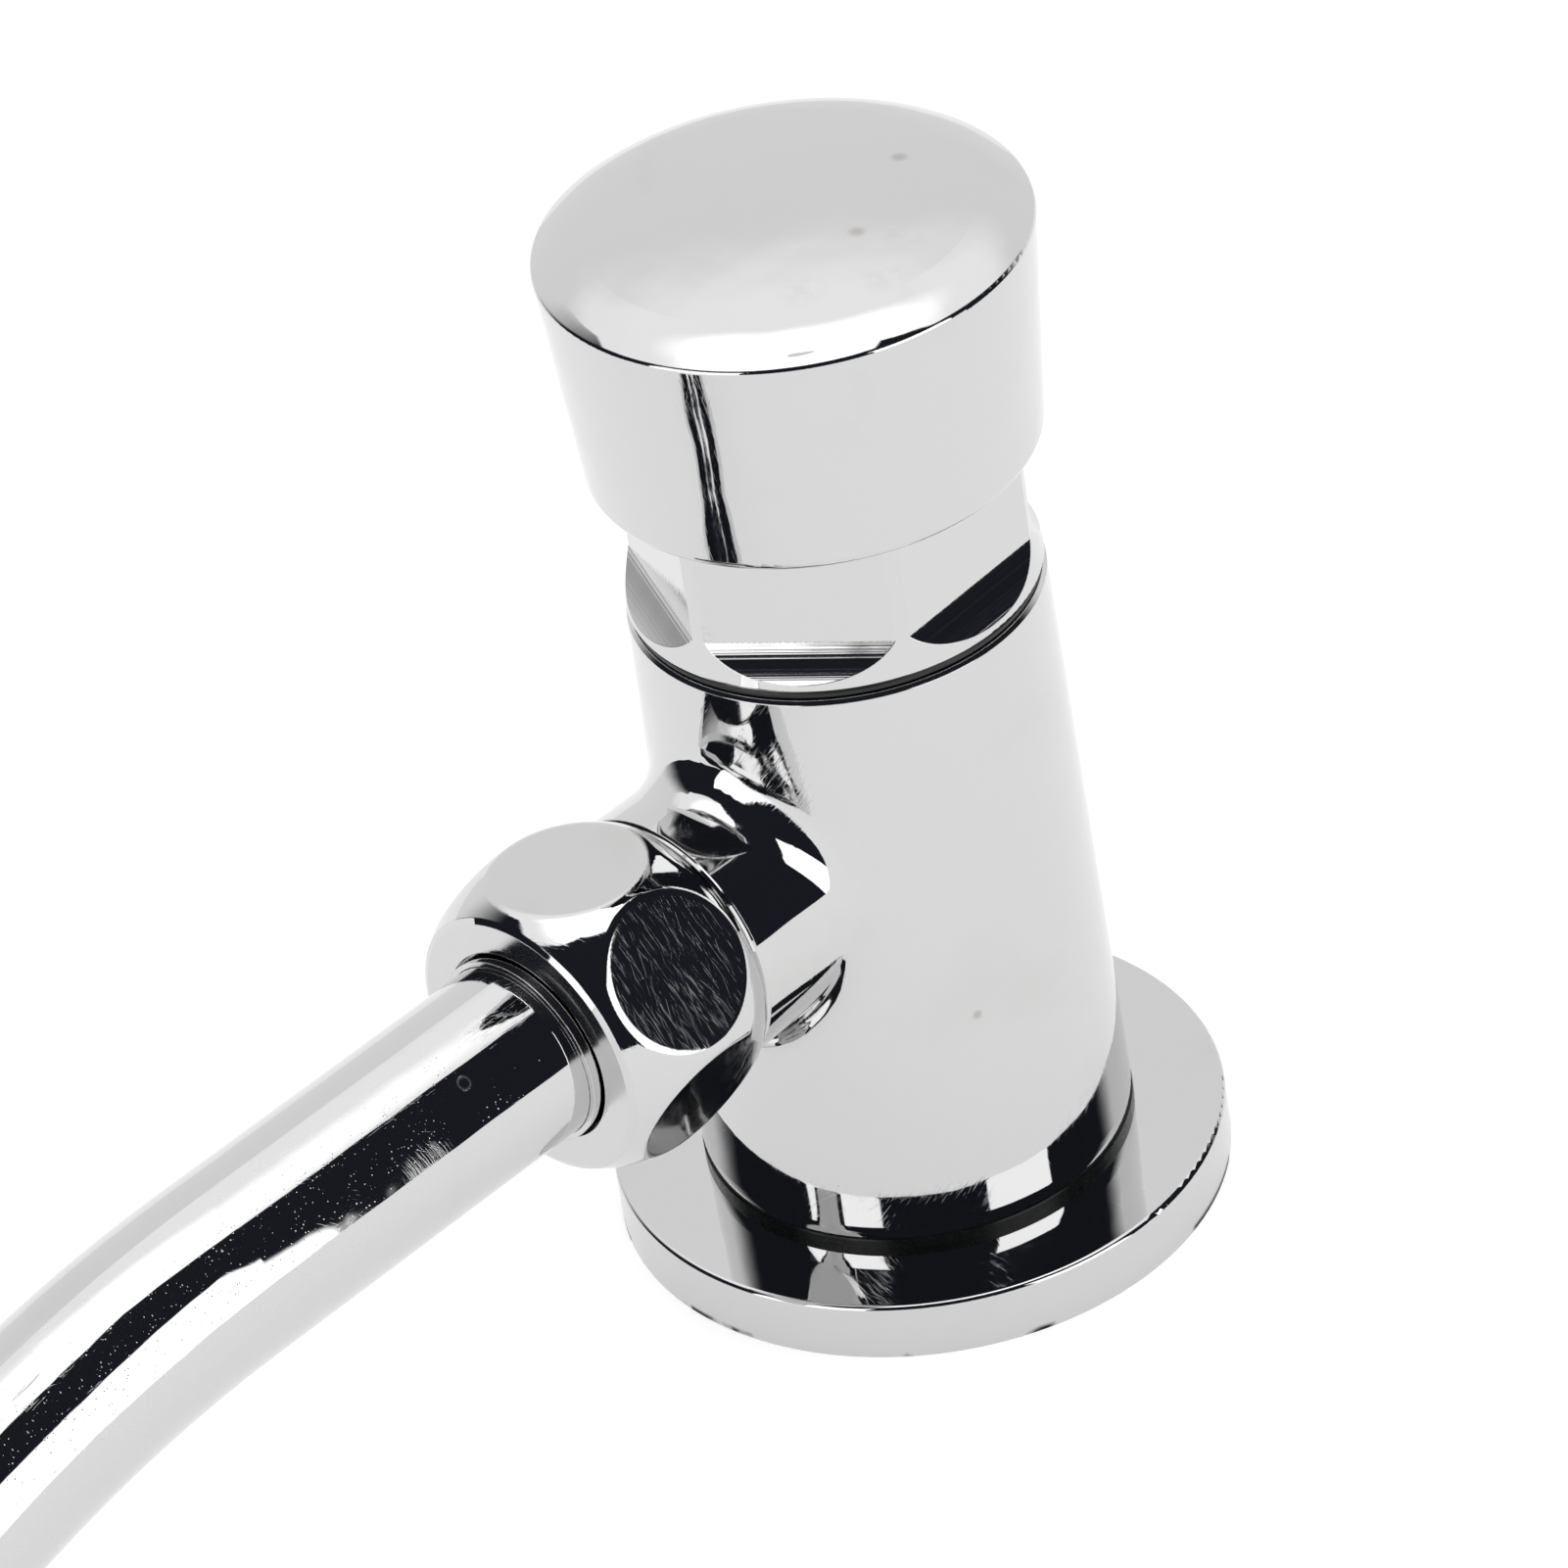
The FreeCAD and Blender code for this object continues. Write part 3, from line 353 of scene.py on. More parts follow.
def metal(name, light, dark, rough, grain, ring_turn=90.0, ring_height=6e-7):
    """Plain machined or drawn metal: tool marks round the axis, dull patches and a few specks."""
    made, tree = new_material(name)
    spot = add(tree, "TexCoord").outputs["Object"]
    flat = unrolled(tree, spot, tool_place_r)
    marks = lines(tree, flat, ring_turn - 90, *tool_marks, *tool_shows)
    cloud = add(tree, "TexNoise", {"Vector": spot, "Scale": grain, "Detail": 4.0}).outputs["Fac"]
    patch = ramp(tree, cloud, *patch_shows)
    rounded = add(tree, "Bevel", {"Radius": edge_r}, samples=4).outputs[0]
    inputs = {"Metallic": 1.0, "Normal": bumped(tree, marks, ring_height, rounded)}
    inputs["Base Color"] = add(tree, "Mix", {0: patch, 6: light, 7: dark}, data_type="RGBA").outputs[2]
    inputs["Roughness"] = ramp(tree, cloud, *rough_shows, rough, rough + patch_rough)
    surface(tree, add(tree, "BsdfPrincipled", inputs).outputs[0])
    return made


brass = metal("brass_plain", brass_light, brass_dark, brass_rough, brass_grain)


def make_nipple():
    """Rings of points up the outside with the thread, and down the inside with the socket."""
    low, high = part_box("inlet_nipple")

    def thread_r(z, angle, low_end, high_end):
        wave = 0.5 + 0.5 * math.cos(2 * math.pi * (z / thread_pitch - angle / (2 * math.pi)))
        full = thread_root_r + (thread_crest_r - thread_root_r) * wave
        fade = min(1.0, (high_end - z) / thread_fade)
        bevel = thread_crest_r - nipple_chamfer + (z - low_end)
        return min(full * fade + thread_crest_r * (1 - fade), bevel) if low_end == low.z else full

    def socket_r(angle):
        turned = (angle + math.pi / 6) % (math.pi / 3) - math.pi / 6
        return nipple_key_flats / 2 / math.cos(turned)

    outline = []
    rows = round((neck_low_z - low.z) / thread_pitch * nipple_rows_a_turn)
    for k in range(rows + 1):
        z = low.z + (neck_low_z - low.z) * k / rows
        outline.append((lambda a, z=z: thread_r(z, a, low.z, neck_low_z), z))
    outline.append((lambda a: neck_r, neck_low_z))
    outline.append((lambda a: neck_r, neck_high_z))
    rows = round((high.z - neck_high_z) / thread_pitch * nipple_rows_a_turn)
    for k in range(rows + 1):
        z = neck_high_z + (high.z - neck_high_z) * k / rows
        outline.append((lambda a, z=z: thread_r(z, a, neck_high_z, high.z), z))
    top_bore_z = high.z - nipple_top_bore_depth
    pocket_z = low.z + nipple_pocket_depth
    outline.append((lambda a: nipple_top_bore_r, high.z))
    outline.append((lambda a: nipple_top_bore_r, top_bore_z))
    outline.append((socket_r, top_bore_z))
    outline.append((socket_r, nipple_key_low_z))
    outline.append((lambda a: nipple_bore_r, nipple_key_low_z))
    outline.append((lambda a: nipple_bore_r, pocket_z))
    outline.append((lambda a: nipple_pocket_r, pocket_z))
    outline.append((lambda a: nipple_pocket_r, low.z))
    grid = bmesh.new()
    angles = [2 * math.pi * k / nipple_sides for k in range(nipple_sides)]
    rings_of(grid, [[(r(a) * math.cos(a), r(a) * math.sin(a), z) for a in angles] for r, z in outline], True)
    piece = new_piece("nipple_with_thread", grid, brass)
    for face in piece.data.polygons:
        face.use_smooth = True
    piece.data.set_sharp_from_angle(angle=math.radians(nipple_sharp_turn))
    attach(piece, "housing")
    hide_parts("inlet_nipple")


make_nipple()

# The gasket on the nipple's top is punched from red vulcanised fibre. The sieve in the nipple's end is
# stamped from stainless sheet.
fibre_red = (0.33, 0.045, 0.030, 1)
fibre_dark = (0.20, 0.020, 0.015, 1)
sieve_light = (0.62, 0.61, 0.59, 1)
sieve_dark = (0.40, 0.39, 0.37, 1)
fibre_rough = 0.62
fibre_grain = 2600
sieve_rough = 0.28
sieve_grain = 420
dress("nipple_gasket", rubber("red_fibre", fibre_dark, fibre_red, fibre_rough, fibre_grain))
dress("inlet_strainer", metal("sieve_steel", sieve_light, sieve_dark, sieve_rough, sieve_grain))

# The body: cast brass, turned and polished by hand, then chromed. The polishing mop left soft swells
# and fine slanting scratches, strongest above the outlet where the nut's spanner has rubbed.
body_place_r = 0.0205
body_line_turn = -55
scuff_middle = (-0.0178, -0.0092, 0.0600)
scuff_r = 0.0062
scuff_full = 0.45
scuff_turn = -52
scuff_lines = (3600, 300)
scuff_shows = (0.50, 0.64)
scuff_high = 4.0e-6
body_specks = ((-0.00792, -0.0190, 0.03113),)
speck_r = 0.0007
body_speck_rough = 0.10
body_speck_tone = 0.45
mark_full = 0.2
stain_brown = (0.30, 0.27, 0.23, 1)


def marks_at(tree, spot, places, r):
    """Soft round marks at the given places, as a mask."""
    found = None
    for place in places:
        away = add(tree, "VectorMath", {0: spot, 1: place}, operation="DISTANCE").outputs["Value"]
        mark = ramp(tree, away, r, mark_full * r)
        found = mark if found is None else calc(tree, "MAXIMUM", found, mark)
    return found


def stained(tree, mask, inputs, rough, share):
    """Dulls and darkens the finish where the mask says."""
    inputs["Roughness"] = calc(tree, "ADD", inputs["Roughness"], calc(tree, "MULTIPLY", mask, rough))
    inputs["Base Color"] = add(tree, "Mix", {0: calc(tree, "MULTIPLY", mask, share), 6: inputs["Base Color"],
                                             7: stain_brown}, data_type="RGBA").outputs[2]


def scuffed(tree, spot, flat, inputs):
    """Adds the patch of close slanting scratches above the outlet, and one dull speck."""
    away = add(tree, "VectorMath", {0: spot, 1: scuff_middle}, operation="DISTANCE").outputs["Value"]
    patch = ramp(tree, away, scuff_r, scuff_full * scuff_r)
    rub = lines(tree, flat, scuff_turn, *scuff_lines, *scuff_shows)
    inputs["Normal"] = bumped(tree, calc(tree, "MULTIPLY", rub, patch), scuff_high, inputs["Normal"])
    stained(tree, marks_at(tree, spot, body_specks, speck_r), inputs, body_speck_rough, body_speck_tone)


dress("body", chrome("chrome_body", lambda tree, spot: unrolled(tree, spot, body_place_r), body_line_turn,
                     swell=6.0e-5, scratch=1.8e-6, pit_share=0.03, extra=scuffed))

# The timing cartridge is moulded white plastic with a brass lid, held down by the bonnet. Its
# sealing rings, the piston's lip seal and the seat washer are black nitrile rubber. The piston, the
# washer's holder and the two small nuts are plain turned brass.
nitrile_dark = (0.008, 0.008, 0.009, 1)
nitrile_pale = (0.020, 0.020, 0.021, 1)
plastic_pale = (0.80, 0.79, 0.76, 1)
plastic_dark = (0.72, 0.71, 0.67, 1)
plastic_rough = 0.38
plastic_grain = 700
nitrile_rough = 0.42
nitrile_grain = 1800
nitrile = rubber("black_rubber", nitrile_dark, nitrile_pale, nitrile_rough, nitrile_grain)
for name in ("seat_ring", "chamber_ring", "spindle_ring", "lip_seal", "seat_washer"):
    dress(name, nitrile)
dress("cartridge", rubber("white_plastic", plastic_dark, plastic_pale, plastic_rough, plastic_grain))
for name in ("cartridge_cover", "piston", "washer_holder", "stem_nut", "lock_nut"):
    dress(name, brass)

# The valve stem and the spindle: turned from drawn stainless bar, so fine tool marks run round them.
# The spindle's snap ring is stamped from stainless sheet.
steel_light = (0.58, 0.57, 0.55, 1)
steel_dark = (0.44, 0.43, 0.42, 1)
steel_rough = 0.20
steel_grain = 380
steel = metal("steel_plain", steel_light, steel_dark, steel_rough, steel_grain)
for name in ("valve_stem", "spindle", "spindle_clip"):
    dress(name, steel)

# The two springs: coiled from drawn stainless wire. One lifts the button and the other closes the
# valve. Each stands on a fixed seat and is squeezed by the piece above it.
wire_rough = 0.26
wire_grain = 900
wire = metal("spring_steel", steel_light, steel_dark, wire_rough, wire_grain)
button_coil_r = 0.0090
button_wire_r = 0.0006
valve_coil_r = 0.0092
valve_wire_r = 0.00055
wire_turns = 7
wire_steps_a_turn = 36
wire_sides = 12


def make_spring(node, coil_r, wire_r):
    """Round wire wound about the axis between the node's two ends."""
    low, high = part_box(node)
    rise = high.z - low.z - 2 * wire_r
    slope = rise / (2 * math.pi * coil_r * wire_turns)
    steps = wire_turns * wire_steps_a_turn
    corners = [2 * math.pi * i / wire_sides for i in range(wire_sides)]
    rings = []
    for k in range(steps + 1):
        angle = 2 * math.pi * k / wire_steps_a_turn
        outward = Vector((math.cos(angle), math.sin(angle), 0))
        ahead = Vector((-math.sin(angle), math.cos(angle), slope)).normalized()
        across = ahead.cross(outward)
        middle = outward * coil_r + Vector((0, 0, low.z + wire_r + rise * k / steps))
        rings.append([middle + (outward * math.cos(a) + across * math.sin(a)) * wire_r for a in corners])
    grid = bmesh.new()
    rings_of(grid, rings)
    bmesh.ops.holes_fill(grid, edges=grid.edges[:], sides=wire_sides)
    bmesh.ops.recalc_face_normals(grid, faces=grid.faces[:])
    piece = new_piece(node + "_coil", grid, wire)
    for face in piece.data.polygons:
        face.use_smooth = True
    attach(piece, "housing")
    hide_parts(node)
    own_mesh(piece)


make_spring("button_spring", button_coil_r, button_wire_r)
make_spring("valve_spring", valve_coil_r, valve_wire_r)

# The bonnet: turned brass with six milled flats for the spanner. The milling shows as fine upright
# lines on the flats and as coarse streaks on the ledges below them.
bonnet_place_r = 0.0185
bonnet_line_turn = 8
bonnet_flats = 0.0337
bonnet_flat_turn = 33.5
bonnet_ledge_z = 0.07395
flat_margin = 0.00003
milling_lines = (2600, 120)
milling_shows = (0.25, 0.75)
milling_high = 4e-6
ledge_faces = (0.35, 0.5)
ledge_streaks = 3500.0
ledge_shows = (0.45, 0.65)
ledge_streak_high = 8e-6
ledge_streak_rough = 0.16


def hexagon_depth(tree, first, second, turn):
    """Largest distance of a point from a hexagon's three middle planes, along their normals."""
    deepest = None
    for k in range(3):
        angle = math.radians(turn + 60 * k)
        part = calc(tree, "ADD", calc(tree, "MULTIPLY", first, math.cos(angle)),
                    calc(tree, "MULTIPLY", second, math.sin(angle)))
        part = calc(tree, "ABSOLUTE", part)
        deepest = part if deepest is None else calc(tree, "MAXIMUM", deepest, part)
    return deepest


def milled(tree, spot, flat, inputs):
    """Adds the cutter's fine upright lines on the flats and its coarse streaks on the ledges."""
    parts = add(tree, "SeparateXYZ", {"Vector": spot}).outputs
    depth = hexagon_depth(tree, parts[0], parts[1], bonnet_flat_turn)
    on_flat = calc(tree, "LESS_THAN", depth, bonnet_flats / 2 + flat_margin)
    upright = lines(tree, flat, 90, *milling_lines, *milling_shows)
    inputs["Normal"] = bumped(tree, calc(tree, "MULTIPLY", upright, on_flat), milling_high, inputs["Normal"])
    facing = add(tree, "SeparateXYZ", {"Vector": add(tree, "NewGeometry").outputs["Normal"]}).outputs[2]
    on_ledge = calc(tree, "MULTIPLY", ramp(tree, facing, *ledge_faces),
                    calc(tree, "LESS_THAN", parts[2], bonnet_ledge_z + flat_margin))
    streaks = add(tree, "TexNoise", {"Vector": add(tree, "CombineXYZ", {"X": depth}).outputs[0],
                                     "Scale": ledge_streaks, "Detail": 3.0}).outputs["Fac"]
    streaks = calc(tree, "MULTIPLY", ramp(tree, streaks, *ledge_shows), on_ledge)
    inputs["Normal"] = bumped(tree, streaks, ledge_streak_high, inputs["Normal"])
    inputs["Roughness"] = calc(tree, "ADD", inputs["Roughness"],
                               calc(tree, "MULTIPLY", streaks, ledge_streak_rough))


dress("bonnet", chrome("chrome_bonnet", lambda tree, spot: unrolled(tree, spot, bonnet_place_r),
                       bonnet_line_turn, swell=4.0e-5, scratch=1.4e-6, pit_share=0.04, seed=0.57,
                       extra=milled))
dress("bonnet_ring", nitrile)

# The push button: a cap turned from brass bar, with a mirror polish. Fingers have left faint smudges
# on its top, and the plating has two dull specks.
cap_place_r = 0.0225
cap_line_turn = 82
cap_specks = ((0.01245, -0.00354, 0.1102), (0.00063, -0.00919, 0.1102))
cap_smudges = ((0.0025, -0.0129, 0.1102), (-0.0088, -0.0113, 0.1102), (-0.0030, -0.0160, 0.1098))
cap_smudge_r = 0.0030
cap_speck_r = 0.0011
cap_speck_rough = 0.08
cap_speck_tone = 0.42
smudge_grain = 700.0
cap_smudge_shows = (0.35, 0.65)
cap_smudge_rough = 0.03
cap_smudge_tone = 0.10


def fingered(tree, spot, flat, inputs):
    """Adds two dull specks and the faint yellowish smudges that fingers left on the top."""
    stained(tree, marks_at(tree, spot, cap_specks, cap_speck_r), inputs, cap_speck_rough, cap_speck_tone)
    cloud = add(tree, "TexNoise", {"Vector": spot, "Scale": smudge_grain, "Detail": 4.0}).outputs["Fac"]
    smudge = calc(tree, "MULTIPLY", marks_at(tree, spot, cap_smudges, cap_smudge_r),
                  ramp(tree, cloud, *cap_smudge_shows))
    stained(tree, smudge, inputs, cap_smudge_rough, cap_smudge_tone)


dress("button_cap", chrome("chrome_cap", lambda tree, spot: unrolled(tree, spot, cap_place_r), cap_line_turn,
                           swell=1.1e-4, scratch=1.0e-6, pit_share=0.01, seed=0.83, extra=fingered))

# The flush pipe: drawn brass tube, bent on a former and chromed. It has lengthwise drawing lines,
# a rubbed patch, and a scatter of pits that grows towards the bend.
outlet_z = 0.0445
pits_start_x = -0.040
pits_end_x = -0.085
pits_start_share = 0.35
pit_clouds = 120.0
pit_clouds_show = (0.24, 0.48)
small_pit_pitch = 0.00034
small_pit_r = 0.00010
small_pit_share = 0.50
large_pit_pitch = 0.0013
large_pit_r = 0.00020
large_pit_share = 0.20
lime_deep = 1.4e-5
lime_rough = 0.35
pipe_ring_mark = (-0.05966, -0.00604, 0.05116)
ring_mark_r = 0.0006
ring_mark_line = (0.35, 0.1)
ring_mark_high = 8e-6
ring_mark_rough = 0.2
pipe_rub = (-0.0671, -0.00841, 0.04766)
pipe_rub_r = 0.0045
pipe_rub_turn = 62
pipe_rub_lines = (6500, 420)
pipe_rub_shows = (0.40, 0.66)
pipe_rub_high = 1.5e-6


def along_pipe(tree, spot):
    """Place on the pipe: way along it, and across it. The bend leaves the sideways part unchanged."""
    parts = add(tree, "SeparateXYZ", {"Vector": spot}).outputs
    return add(tree, "CombineXYZ", {"X": parts[0], "Y": parts[1]}).outputs[0]


def pitted(tree, spot, flat, inputs):
    """Adds pits and lime specks, a rubbed patch of slanting scratches and one small ring mark."""
    parts = add(tree, "SeparateXYZ", {"Vector": spot}).outputs
    grown = ramp(tree, parts[0], pits_start_x, pits_end_x, pits_start_share, 1.0)
    patches = add(tree, "TexNoise", {"Vector": spot, "Scale": pit_clouds, "Detail": 3.0}).outputs["Fac"]
    thick = ramp(tree, calc(tree, "MULTIPLY", patches, grown), *pit_clouds_show)
    small = calc(tree, "MULTIPLY", specks(tree, spot, small_pit_pitch, small_pit_r, small_pit_share), thick)
    large = calc(tree, "MULTIPLY", specks(tree, spot, large_pit_pitch, large_pit_r, large_pit_share), grown)
    lime = calc(tree, "MAXIMUM", small, large)
    inputs["Normal"] = bumped(tree, lime, -lime_deep, inputs["Normal"])
    away = add(tree, "VectorMath", {0: spot, 1: pipe_ring_mark}, operation="DISTANCE").outputs["Value"]
    off = calc(tree, "ABSOLUTE", calc(tree, "SUBTRACT", away, ring_mark_r))
    ring = ramp(tree, off, ring_mark_line[0] * ring_mark_r, ring_mark_line[1] * ring_mark_r)
    inputs["Normal"] = bumped(tree, ring, ring_mark_high, inputs["Normal"])
    rub = calc(tree, "MULTIPLY", lines(tree, flat, pipe_rub_turn, *pipe_rub_lines, *pipe_rub_shows),
               marks_at(tree, spot, (pipe_rub,), pipe_rub_r))
    inputs["Normal"] = bumped(tree, rub, pipe_rub_high, inputs["Normal"])
    dull = calc(tree, "MAXIMUM", calc(tree, "MULTIPLY", lime, lime_rough),
                calc(tree, "MULTIPLY", ring, ring_mark_rough))
    inputs["Roughness"] = calc(tree, "ADD", inputs["Roughness"], dull)


dress("flush_pipe", chrome("chrome_pipe", along_pipe, 0, swell=6.0e-5, scratch=2.6e-6, pit_share=0.10,
                           seed=0.12, extra=pitted))

# The clamp ring and the pipe seal: a turned brass ring, lightly chromed, squeezes a rubber ring round
# the pipe's end. The clamp ring's face shows the rings that the turning tool left.
turned_line_pitch = 0.00009
outlet_place_r = 0.015
end_faces = (0.9, 0.97)
turning_high = 6e-6
turning_rough = 0.10
turning_smear = 0.85


def across_outlet(tree, spot):
    """Place on a round piece about the outlet: way along it, and way round it."""
    parts = add(tree, "SeparateXYZ", {"Vector": spot}).outputs
    height = calc(tree, "SUBTRACT", parts[2], outlet_z)
    turn = calc(tree, "ARCTAN2", height, calc(tree, "MULTIPLY", parts[1], -1.0))
    round_way = calc(tree, "MULTIPLY", turn, outlet_place_r)
    return add(tree, "CombineXYZ", {"X": parts[0], "Y": round_way}).outputs[0]


def turned_face(tree, spot, flat, inputs):
    """Rings of tool marks on faces that look along the outlet, and the way the light smears on them."""
    parts = add(tree, "SeparateXYZ", {"Vector": spot}).outputs
    height = calc(tree, "SUBTRACT", parts[2], outlet_z)
    r = calc(tree, "SQRT", calc(tree, "ADD", calc(tree, "MULTIPLY", parts[1], parts[1]),
                                calc(tree, "MULTIPLY", height, height)))
    looks = add(tree, "SeparateXYZ", {"Vector": add(tree, "NewGeometry").outputs["Normal"]}).outputs[0]
    on_face = ramp(tree, calc(tree, "ABSOLUTE", looks), *end_faces)
    tool = add(tree, "TexNoise", {"Vector": add(tree, "CombineXYZ", {"X": r}).outputs[0],
                                  "Scale": 1 / turned_line_pitch, "Detail": 3.0}).outputs["Fac"]
    inputs["Normal"] = bumped(tree, calc(tree, "MULTIPLY", tool, on_face), turning_high, inputs["Normal"])
    inputs["Roughness"] = calc(tree, "ADD", inputs["Roughness"],
                               calc(tree, "MULTIPLY", on_face, turning_rough))
    inputs["Anisotropic"] = calc(tree, "MULTIPLY", on_face, turning_smear)
    middle = add(tree, "CombineXYZ", {"Y": parts[1], "Z": height}).outputs[0]
    round_way = add(tree, "VectorMath", {0: (1, 0, 0), 1: middle}, operation="CROSS_PRODUCT").outputs[0]
    inputs["Tangent"] = add(tree, "VectorMath", {0: round_way}, operation="NORMALIZE").outputs[0]


dress("clamp_ring", chrome("chrome_ring", across_outlet, 90, swell=1.0e-5, scratch=1.6e-6, seed=0.44,
                           extra=turned_face))
dress("pipe_seal", nitrile)

# The union nut: turned from brass bar as a ball, with six ground flats whose edges the polishing
# rolled. The flats show the curved scratches of the grinding belt, the ends the turning rings.
nut_flats = 0.0284
nut_flat_turn = 32.5
nut_line_turn = 70
belt_bends = 70.0
belt_sway = 0.002
belt_turn = 84
belt_lines = (15000, 220)
belt_shows = (0.58, 0.72)
second_belt_turn = 104
second_belt_lines = (13500, 200)
second_belt_shows = (0.60, 0.74)
belt_high = 8e-7
belt_rough = 0.03


def ground(tree, spot, flat, inputs):
    """Adds the turning rings on the ends and the belt's two sets of scratches on the flats."""
    turned_face(tree, spot, flat, inputs)
    parts = add(tree, "SeparateXYZ", {"Vector": spot}).outputs
    height = calc(tree, "SUBTRACT", parts[2], outlet_z)
    depth = hexagon_depth(tree, parts[1], height, 180 - nut_flat_turn)
    on_flat = calc(tree, "GREATER_THAN", depth, nut_flats / 2 - flat_margin)
    bent = add(tree, "TexNoise", {"Vector": spot, "Scale": belt_bends, "Detail": 0.0}).outputs["Color"]
    sway = add(tree, "VectorMath", {0: bent, 1: [belt_sway] * 3}, operation="MULTIPLY").outputs[0]
    swayed = add(tree, "VectorMath", {0: flat, 1: sway}, operation="ADD").outputs[0]
    first = lines(tree, swayed, belt_turn, *belt_lines, *belt_shows)
    second = lines(tree, swayed, second_belt_turn, *second_belt_lines, *second_belt_shows)
    belt = calc(tree, "MULTIPLY", calc(tree, "ADD", first, second), on_flat)
    inputs["Normal"] = bumped(tree, belt, belt_high, inputs["Normal"])
    inputs["Roughness"] = calc(tree, "ADD", inputs["Roughness"], calc(tree, "MULTIPLY", on_flat, belt_rough))


dress("union_nut", chrome("chrome_nut", across_outlet, nut_line_turn, swell=4.0e-5, scratch=1.6e-6,
                          pit_share=0.08, seed=0.71, extra=ground))

# The studio: white cloth all round and over the valve, brighter above, open towards a dark room on
# the photographer's side, with two lit white panels standing in the opening. Heights and turns are
# seen from the valve, and turns are counted from the camera's side.
camera_turn = -41.577
tent_light = 0.92
tent_r = 0.85
tent_step = 2.5
tent_rows = 24
room_dark = (0.013, 0.015, 0.020, 1)
cloth_white = (1, 1, 1, 1)
cloth_high = 88
cloth_low = 36
cloth_bright = 1.17
cloth_top_bright = 1.9
panel_bright = 1.9
panel_heights = (-32, 37)
right_panel_turns = (28, 66)
left_panel_turns = (-67, -27)
room_turns = (-142, 125)
room_low = -26
room_soft_turns = (28, 20)
room_soft_heights = (5, 1.5)
card_gap = 0.01


def level(heights, turn):
    """Height of a card's edge at a turn: the same all along, or straight between (turn, height) places."""
    if not isinstance(heights, tuple):
        return heights
    for (left, low), (right, high) in zip(heights, heights[1:]):
        if turn <= right:
            return low + (high - low) * (turn - left) / (right - left)
    return heights[-1][1]


def card(name, turns, bottom, top, soft_turns, soft_heights, r, colour, strength):
    """Curved card round the valve, with feathered edges, that only polished metal sees."""
    columns = max(4, round((turns[1] - turns[0]) / tent_step))
    grid = bmesh.new()
    near = grid.loops.layers.uv.new("near")
    far = grid.loops.layers.uv.new("far")
    closed = turns[1] - turns[0] >= 360
    columns_of_points = []
    for i in range(columns + 1):
        turn = turns[0] + (turns[1] - turns[0]) * i / columns
        low, high = level(bottom, turn), level(top, turn)
        column = []
        for j in range(tent_rows + 1):
            height = low + (high - low) * j / tent_rows
            way, up = math.radians(camera_turn + turn), math.radians(height)
            if closed and i == columns:
                point = columns_of_points[0][j][0]
            else:
                point = grid.verts.new((r * math.sin(way) * math.cos(up), -r * math.cos(way) * math.cos(up),
                                        outlet_z + r * math.sin(up)))
            column.append((point, (turn - turns[0], height - low), (turns[1] - turn, high - height)))
        columns_of_points.append(column)
    for left, right in zip(columns_of_points, columns_of_points[1:]):
        for j in range(tent_rows):
            corners = (left[j], right[j], right[j + 1], left[j + 1])
            face = grid.faces.new([corner[0] for corner in corners])
            for loop, corner in zip(face.loops, corners):
                loop[near].uv = corner[1]
                loop[far].uv = corner[2]
    made, tree = new_material(name)
    shown = None
    for layer, k in (("near", 0), ("far", 1)):
        inside = add(tree, "SeparateXYZ", {"Vector": add(tree, "UVMap", uv_map=layer).outputs[0]}).outputs
        for way, soft in ((inside[0], soft_turns[k]), (inside[1], soft_heights[k])):
            if soft > 0:
                part = ramp(tree, way, 0.0, soft)
                shown = part if shown is None else calc(tree, "MULTIPLY", shown, part)
    light = add(tree, "Emission", {"Color": colour, "Strength": strength}).outputs[0]
    clear = add(tree, "BsdfTransparent").outputs[0]
    surface(tree, add(tree, "MixShader", {0: shown, 1: clear, 2: light}).outputs[0])
    piece = new_piece(name, grid, made)
    for kind in ("camera", "diffuse", "shadow", "transmission", "volume_scatter"):
        setattr(piece, "visible_" + kind, False)


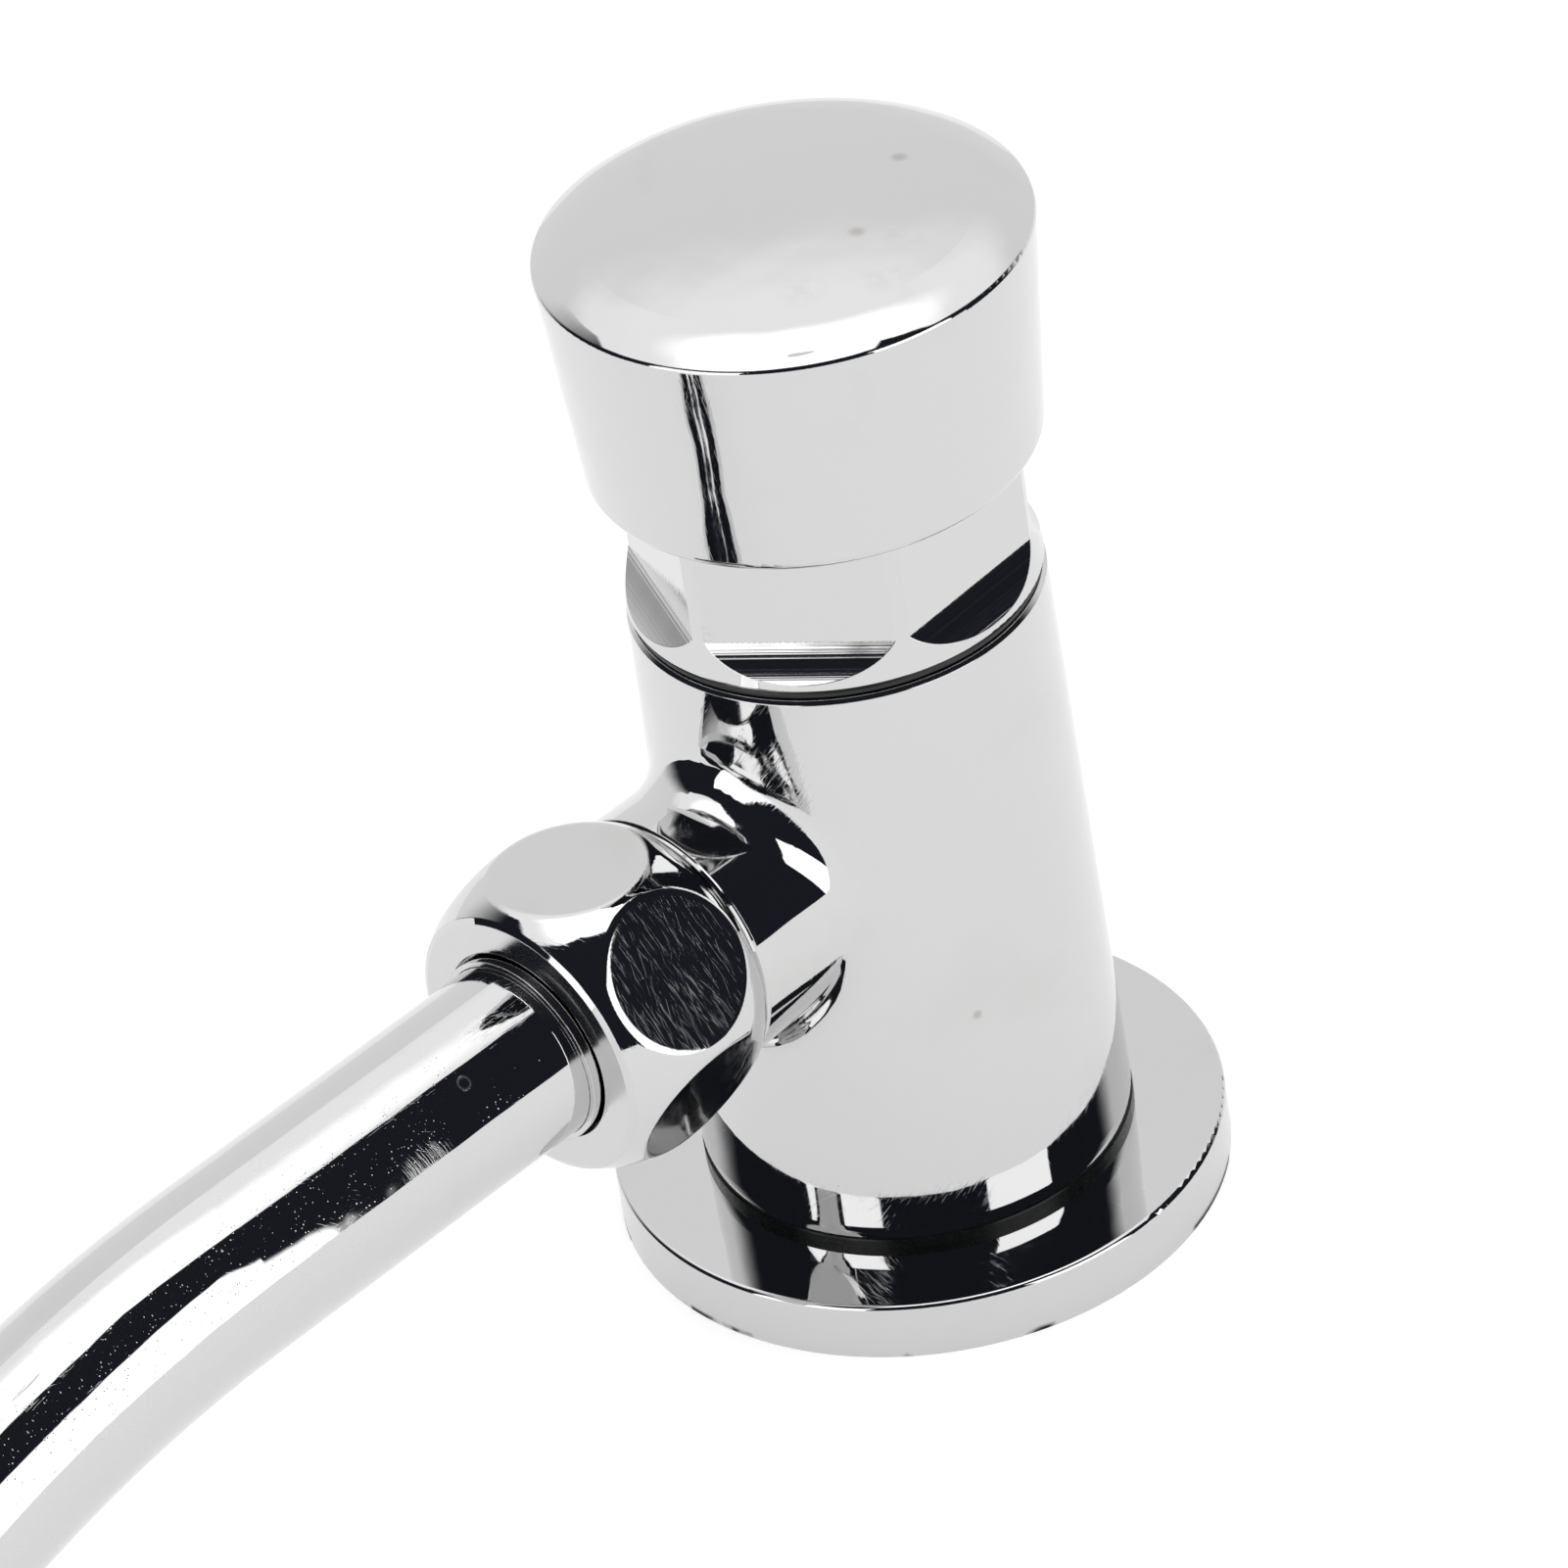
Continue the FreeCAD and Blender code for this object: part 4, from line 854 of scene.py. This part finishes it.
cloth_top_edge = ((-180, 57), (-90, 59), (0, 59), (90, 57), (135, 56), (180, 57))
room_top_edge = ((-142, 36), (-125, 47), (-98, 54), (-70, 60), (-45, 65), (-30, 70), (-15, 74), (80, 74),
                 (92, 64), (103, 55), (112, 44), (125, 36))
card("cloth_above", (-180, 180), cloth_low, cloth_high, (0, 0), (12, 0), tent_r + 4 * card_gap, cloth_white,
     cloth_bright)
card("cloth_top", (-180, 180), cloth_top_edge, cloth_high, (0, 0), (13, 0), tent_r + 2 * card_gap,
     cloth_white, cloth_top_bright)
card("dark_room", room_turns, room_low, room_top_edge, room_soft_turns, room_soft_heights, tent_r,
     room_dark, 1.0)
card("panel_right", right_panel_turns, *panel_heights, (1, 1), (2, 1), tent_r - 3 * card_gap, cloth_white,
     panel_bright)
card("panel_left", left_panel_turns, *panel_heights, (1, 1), (2, 1), tent_r - 3 * card_gap, cloth_white,
     panel_bright)

world = bpy.data.worlds.new("tent")
bpy.context.scene.world = world
world.use_nodes = True
world.node_tree.nodes["Background"].inputs["Color"].default_value = cloth_white
world.node_tree.nodes["Background"].inputs["Strength"].default_value = tent_light

# The camera looks down on the valve from the side of the outlet, through a long lens, a little tilted.
# Its place, lens and tilt were fitted to the edges of the pieces in the photograph.
camera_height = 35.131
camera_roll = -9.168
camera_distance = 0.83234
camera_aim = Vector((-0.005375, 0.005702, 0.04663))
camera_lens = 201.61
sensor_width = 36.0
turn = math.radians(camera_turn)
height = math.radians(camera_height)
roll = math.radians(camera_roll)
back = Vector((math.sin(turn) * math.cos(height), -math.cos(turn) * math.cos(height), math.sin(height)))
right = Vector((math.cos(turn), math.sin(turn), 0))
up = back.cross(right)
camera_x = right * math.cos(roll) + up * math.sin(roll)
camera_y = up * math.cos(roll) - right * math.sin(roll)
camera_data = bpy.data.cameras.new("camera")
camera_data.lens = camera_lens
camera_data.sensor_width = sensor_width
camera_data.clip_start = 0.05
camera_data.clip_end = 20
camera = bpy.data.objects.new("camera", camera_data)
bpy.context.scene.collection.objects.link(camera)
place = Matrix((camera_x, camera_y, back)).transposed().to_4x4()
place.translation = camera_aim + back * camera_distance
camera.matrix_world = place
bpy.context.scene.camera = camera
bpy.context.scene.view_settings.view_transform = "Standard"
